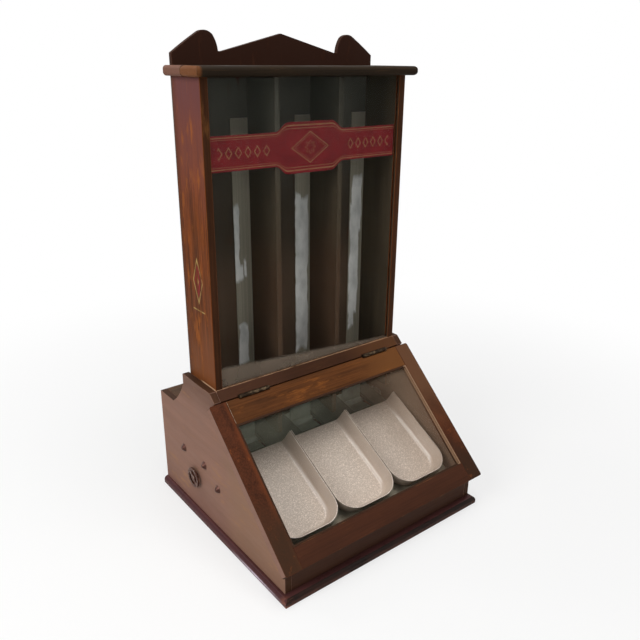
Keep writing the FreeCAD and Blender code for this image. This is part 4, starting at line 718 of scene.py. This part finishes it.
# painted reflection of the room at the top of the glass
HEAD_PAINTED_REFLECTION = (tone(92, 92, 84), tone(72, 72, 65))
CLEAR_SHARE, FOOT_SHARE, HEAD_SHARE = 0.03, 0.7, 0.07
TOWER_CLOUDS = (0.85, 1.1)
# lid glass: where the dust and the painted reflection grow, and from which share to which
EDGE_X, EDGE_SHARE = (0.06, 0.18), (0.04, 0.16)
EDGE_Z, EDGE_GROWS = (0.1, 0.21), (0.5, 1.5)
# painted reflection: where the greenish haze in the upper left grows
LID_REFLECTION_X, LID_REFLECTION_SHARE = (0.06, -0.1), (0.1, 0.26)
LID_REFLECTION_Z = (0.165, 0.2)
# the film's colour runs from a greenish painted reflection on the left to dust on the right
LID_TONE_X, LID_DUST_AND_REFLECTION = (-0.02, 0.1), (tone(92, 90, 76), tone(150, 126, 104))
LID_CLOUDS = (0.7, 1.2)


def tower_film(g):
    """Dust at the foot, deeper at the left end, that also paints the hinge rail's reflection,
    and a faint grey painted reflection at the top.
    """
    dust = g.noise(g.where, DUST_SCALE, detail=3.0)
    # dust and painted reflection: the band at the foot
    line = g.spread(g.axis("X"), *FOOT_LINE_X, *FOOT_LINE_Z)
    foot = g.spread(g.less(g.axis("Z"), line), *FOOT_FADES, 1.0, 0.0, smooth=True)
    head = g.spread(g.axis("Z"), *HEAD_Z, smooth=True)
    # painted reflection: a grey haze towards the top
    haze = g.mix(g.spread(g.axis("X"), *HEAD_X), *HEAD_PAINTED_REFLECTION)
    colour = g.mix(foot, g.mix(head, CLEAR_DUST, haze), FOOT_DUST_AND_REFLECTION)
    share = g.either(g.spread(foot, 0.0, 1.0, CLEAR_SHARE, FOOT_SHARE),
                     g.both(head, HEAD_SHARE))
    return colour, g.both(share, g.spread(dust, *NEARLY_ALL, *TOWER_CLOUDS))


def lid_film(g):
    """Dust that grows towards the lid's right edge, and a greenish painted reflection in its
    upper left corner.
    """
    dust = g.noise(g.where, DUST_SCALE, detail=3.0)
    edge = g.spread(g.axis("X"), *EDGE_X, *EDGE_SHARE, smooth=True)
    grows = g.spread(g.axis("Z"), *EDGE_Z, *EDGE_GROWS, smooth=True)
    # painted reflection: a greenish haze that grows towards the upper left
    left = g.spread(g.axis("X"), *LID_REFLECTION_X, *LID_REFLECTION_SHARE, smooth=True)
    high = g.spread(g.axis("Z"), *LID_REFLECTION_Z, smooth=True)
    colour = g.mix(g.spread(g.axis("X"), *LID_TONE_X), *LID_DUST_AND_REFLECTION)
    share = g.either(g.both(edge, grows), g.both(left, high))
    return colour, g.both(share, g.spread(dust, *NEARLY_ALL, *LID_CLOUDS))


def finish_node(node, material):
    """Gives a CAD node that keeps its own shape another material."""
    slots = NODES[node].data.materials
    slots.clear()
    slots.append(material)


# clear patches of the guide strips, painted bright as reflection: left, right, foot, top
STRIPS = {
    "guide_strip_left": ((-97 * MM, -88 * MM, 0.4, 0.52), (-94 * MM, -82 * MM, 0.4, 0.425),
                         (-80 * MM, -75 * MM, 0.405, 0.435),
                         (-94 * MM, -76 * MM, 0.25, 0.32)),
    "guide_strip_middle": ((24 * MM, 50 * MM, 0.245, 0.52), (24 * MM, 36 * MM, 0.5, 0.53)),
    "guide_strip_right": ((146 * MM, 168 * MM, 0.29, 0.5), (150 * MM, 172 * MM, 0.45, 0.545),
                          (148 * MM, 160 * MM, 0.26, 0.3)),
}
for node, patches in STRIPS.items():
    finish_node(node, strip_mirror(node + "_mirror", patches))

STEEL = metal("steel", tone(150, 146, 140), tone(78, 70, 62), 0.35)
BRASS = metal("brass", tone(176, 140, 84), tone(96, 70, 44), 0.32)
OLD_BRASS = metal("old_brass", tone(112, 96, 74), tone(48, 38, 30), 0.42,
                  grime=0.6, scale=160.0)
BRONZE = metal("bronze", tone(138, 112, 96), tone(82, 50, 38), 0.3,
               grime=0.75, scale=160.0, metallic=0.7)
SCREW = metal("screw", tone(132, 96, 80), tone(70, 40, 32), 0.24,
              grime=0.75, scale=200.0, metallic=0.7)
VANE = metal("vane", tone(122, 128, 116), tone(98, 104, 96), 0.5,
             grime=0.2, scale=20.0, metallic=0.2)
ENAMEL = tray_enamel()
TOWER_PANE = pane("tower_pane", tower_film)
LID_PANE = pane("lid_pane", lid_film)

NODES_OF = {
    STEEL: ("motor_plate_outer", "motor_plate_inner", "motor_pillars", "winding_arbor",
            "ratchet_wheel", "click", "click_spring", "mainspring", "feed_shaft",
            "feed_shaft_bearing", "governor_fly", "flap_pins"),
    VANE: ("feed_wheel_left", "feed_wheel_middle", "feed_wheel_right"),
    BRASS: ("spring_barrel", "barrel_cap", "second_wheel", "feed_gear"),
    OLD_BRASS: ("rail_leaf_left", "rail_leaf_right", "lid_leaf_left", "lid_leaf_right",
                "hinge_pins", "rail_leaf_screws", "lid_leaf_screws"),
    BRONZE: ("winding_key",),
    SCREW: ("motor_screws", "winding_bush"),
    ENAMEL: ("tray_left", "tray_middle", "tray_right"),
    TOWER_PANE: ("tower_glass",),
    LID_PANE: ("lid_glass",),
}
for material, nodes in NODES_OF.items():
    for node in nodes:
        finish_node(node, material)

# --- band painted on the back of the tower glass --------------------------------------------

BAND_MIDDLE = 0.616
BAND_HALF = 25 * MM
BAND_SWELL = 13 * MM
BAND_REACH = 0.1735
SWELL_FROM, SWELL_TO = 64 * MM, 42 * MM
BAND_THICK = 0.2 * MM
BAND_BEHIND = 0.05 * MM
BAND_UNEVEN = 0.25 * MM  # how far its edge wanders
BAND_STEPS = 140
BAND_SEED = 4

BAND_RED = (tone(102, 27, 31), tone(123, 34, 38))
BAND_FLAKED = tone(70, 26, 26)
BAND_GILT = tone(150, 112, 76)
# gilt outlines, as shares of the band's half height and of the middle lozenge: from, to, soft
BORDERS = ((0.84, 0.9, 0.01), (0.74, 0.765, 0.01))
RINGS = ((0.93, 1.0, 0.015), (0.8, 0.83, 0.01))
LINK = (0.7, 1.0, 0.05)
MIDDLE_HALF = (36 * MM, 24 * MM)
CHAIN_STEP = 16 * MM
CHAIN_HALF = (6 * MM, 9 * MM)
CHAIN_X = (74 * MM, 162 * MM)
CHAIN_END_SOFT = 0.1 * MM
PETALS = 8.0
PETAL_DEEP, PETAL_RADIUS = 2.2 * MM, 7.5 * MM
PETAL_LINE, PETAL_SOFT = 0.7 * MM, 0.2 * MM
BAND_CLOUD_SCALE, FLAKE_SCALE = 60.0, 330.0
# levels of the flaking, what they leave of the gilt, and how much red they darken
GILT_LEFT, FLAKED, FLAKED_SHARE = (0.4, 0.6, 0.8, 0.45), (0.62, 0.7), 0.5


def band_half(x):
    """Half the band's height: a straight band that swells to a cartouche in the middle."""
    share = min(1.0, max(0.0, (SWELL_FROM - abs(x)) / (SWELL_FROM - SWELL_TO)))
    return BAND_HALF + BAND_SWELL * share * share * (3 - 2 * share)


def band_paint():
    """Worn red paint with gilt borders, chains of lozenges and a rosette in a larger one."""
    g = Graph("band_paint", Roughness=0.5, Specular_IOR_Level=0.06)
    x, z = g.axis("X"), g.less(g.axis("Z"), BAND_MIDDLE)
    swell = g.spread(g.away(x), SWELL_TO, SWELL_FROM,
                     BAND_HALF + BAND_SWELL, BAND_HALF, smooth=True)
    share = g.maths("DIVIDE", g.away(z), swell)
    cloud = g.noise(g.where, BAND_CLOUD_SCALE, detail=4.0, rough=0.65)
    flake = g.noise(g.where, FLAKE_SCALE, detail=3.0, rough=0.7)
    red = g.mix(g.spread(cloud, *MOST), *BAND_RED)
    rows = g.maths("PINGPONG", g.add(x, 1.0), CHAIN_STEP)
    chain = g.lozenge(g.less(rows, CHAIN_STEP / 2), z, *CHAIN_HALF)
    chain = g.both(g.within(g.away(x), *CHAIN_X, CHAIN_END_SOFT), g.within(chain, *LINK))
    middle = g.lozenge(x, z, *MIDDLE_HALF)
    rays = g.maths("COSINE", g.maths("MULTIPLY", g.maths("ARCTAN2", z, x), PETALS))
    outline = g.maths("MULTIPLY_ADD", rays, PETAL_DEEP, PETAL_RADIUS)
    petal = g.within(g.less(g.far(x, z), outline), -PETAL_LINE, PETAL_LINE, PETAL_SOFT)
    gilt = g.either(*[g.within(share, *border) for border in BORDERS], chain,
                    *[g.within(middle, *ring) for ring in RINGS], petal)
    colour = g.mix(g.both(gilt, g.spread(flake, *GILT_LEFT)), red, BAND_GILT)
    flaked = g.spread(flake, *FLAKED, to_high=FLAKED_SHARE)
    g.into("Base Color", g.mix(flaked, colour, BAND_FLAKED))
    return g.material


def make_band():
    """A thin layer of paint on the back of the glass, with a slightly uneven edge."""
    random.seed(BAND_SEED)
    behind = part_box("tower_glass")[1].y + BAND_BEHIND
    mesh = bmesh.new()
    rows = []
    for index in range(BAND_STEPS + 1):
        x = -BAND_REACH + 2 * BAND_REACH * index / BAND_STEPS
        half = band_half(x)
        column = []
        for side in (-1, 1):
            z = BAND_MIDDLE + side * (half + random.uniform(-1, 1) * BAND_UNEVEN)
            column.append([mesh.verts.new((x, behind + deep, z)) for deep in (0, BAND_THICK)])
        rows.append(column)
    for (low, high), (low_next, high_next) in zip(rows, rows[1:]):
        mesh.faces.new((low[0], low_next[0], high_next[0], high[0]))
        mesh.faces.new((low[1], high[1], high_next[1], low_next[1]))
        mesh.faces.new((low[0], low[1], low_next[1], low_next[0]))
        mesh.faces.new((high[0], high_next[0], high_next[1], high[1]))
    for (a, b), (c, d) in (rows[0], rows[-1]):
        mesh.faces.new((a, c, d, b))
    bmesh.ops.recalc_face_normals(mesh, faces=mesh.faces)
    data = bpy.data.meshes.new("glass_band")
    mesh.to_mesh(data)
    mesh.free()
    data.materials.append(band_paint())
    band = linked("glass_band", data)
    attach(band, "carcase")


make_band()

# --- camera ---------------------------------------------------------------------------------

CAMERA_AT = Vector((-0.63619, -0.81941, 0.74106))
CAMERA_AZIMUTH = math.radians(38.007)
CAMERA_DOWN = math.radians(21.185)
CAMERA_ROLL = math.radians(0.493)
CAMERA_LENS = 37.855
CAMERA_NEAR = 10 * MM


def make_camera():
    """A view from above and from the left front."""
    ahead = Vector((math.sin(CAMERA_AZIMUTH) * math.cos(CAMERA_DOWN),
                    math.cos(CAMERA_AZIMUTH) * math.cos(CAMERA_DOWN),
                    -math.sin(CAMERA_DOWN)))
    right = Vector((math.cos(CAMERA_AZIMUTH), -math.sin(CAMERA_AZIMUTH), 0))
    up = right.cross(ahead)
    across = right * math.cos(CAMERA_ROLL) + up * math.sin(CAMERA_ROLL)
    upward = up * math.cos(CAMERA_ROLL) - right * math.sin(CAMERA_ROLL)
    data = bpy.data.cameras.new("camera")
    data.lens = CAMERA_LENS
    data.clip_start = CAMERA_NEAR
    camera = linked("camera", data)
    turn = Matrix((across, upward, -ahead)).transposed()
    camera.matrix_world = Matrix.Translation(CAMERA_AT) @ turn.to_4x4()
    bpy.context.scene.camera = camera


make_camera()

# --- floor, world, lamps --------------------------------------------------------------------

FLOOR_HALF = 30.0
FLOOR_DROP = 0.2 * MM
FLOOR_PAPER = tone(238, 237, 235)
GLOW_FROM, GLOW_TO = 0.4, 1.3  # distances from the middle
LEAST_GLOW = 0.62
SKY = (0.94, 0.97, 1.0, 1.0)
AMBIENT = 0.36
# name: place, diameter, watts
LAMPS = {
    "window": ((-2.3, -0.2, 1.7), 1.6, 40.0),
    "front": ((0.9, -2.3, 1.6), 1.6, 5.0),
    "top": ((0.0, -0.5, 2.4), 1.2, 24.0),
    "glint": ((-1.1, 1.35, 1.45), 0.3, 3.0),
}
LAMP_TARGET = Vector((0, 0, 0.3))


def make_floor():
    """Paper that takes the shadow near the cabinet and glows white further away."""
    half = FLOOR_HALF
    data = bpy.data.meshes.new("floor")
    data.from_pydata([(-half, -half, 0), (half, -half, 0), (half, half, 0), (-half, half, 0)],
                     [], [(0, 1, 2, 3)])
    floor = linked("floor", data)
    floor.location.z = -FLOOR_DROP
    g = Graph("floor_paper", Base_Color=FLOOR_PAPER, Roughness=0.9, Specular_IOR_Level=MATT)
    glow = g.node("ShaderNodeEmission")
    g.feed(glow.inputs["Color"], WHITE)
    rays = g.node("ShaderNodeLightPath")
    away = g.node("ShaderNodeVectorMath", operation="LENGTH")
    g.feed(away.inputs[0], g.where)
    far = g.spread(away.outputs["Value"], GLOW_FROM, GLOW_TO, LEAST_GLOW, 1.0, smooth=True)
    blend = g.node("ShaderNodeMixShader")
    g.feed(blend.inputs[0], g.both(far, rays.outputs["Is Camera Ray"]))
    g.feed(blend.inputs[1], g.shader.outputs[0])
    g.feed(blend.inputs[2], glow.outputs[0])
    g.feed(g.tree.nodes["Material Output"].inputs["Surface"], blend.outputs[0])
    data.materials.append(g.material)


def make_world():
    """Pale daylight, and plain white where the camera, a reflection or glass sees it."""
    world = bpy.data.worlds.new("studio")
    world.use_nodes = True
    bpy.context.scene.world = world
    tree = world.node_tree
    shade = tree.nodes["Background"]
    shade.inputs["Color"].default_value = SKY
    shade.inputs["Strength"].default_value = AMBIENT
    white = tree.nodes.new("ShaderNodeBackground")
    white.inputs["Color"].default_value = WHITE
    rays = tree.nodes.new("ShaderNodeLightPath")
    seen = rays.outputs["Is Camera Ray"]
    for kind in ("Is Glossy Ray", "Is Transmission Ray"):
        either = tree.nodes.new("ShaderNodeMath")
        either.operation = "MAXIMUM"
        tree.links.new(seen, either.inputs[0])
        tree.links.new(rays.outputs[kind], either.inputs[1])
        seen = either.outputs[0]
    blend = tree.nodes.new("ShaderNodeMixShader")
    tree.links.new(seen, blend.inputs[0])
    tree.links.new(shade.outputs[0], blend.inputs[1])
    tree.links.new(white.outputs[0], blend.inputs[2])
    tree.links.new(blend.outputs[0], tree.nodes["World Output"].inputs["Surface"])


def make_lamp(name, place, diameter, watts):
    data = bpy.data.lights.new(name, "AREA")
    data.shape = "DISK"
    data.size = diameter
    data.energy = watts
    lamp = linked(name, data)
    lamp.location = place
    lamp.rotation_euler = (LAMP_TARGET - Vector(place)).to_track_quat("-Z", "Y").to_euler()


make_floor()
make_world()
for name, settings in LAMPS.items():
    make_lamp(name, *settings)

bpy.context.scene.view_settings.view_transform = "Standard"
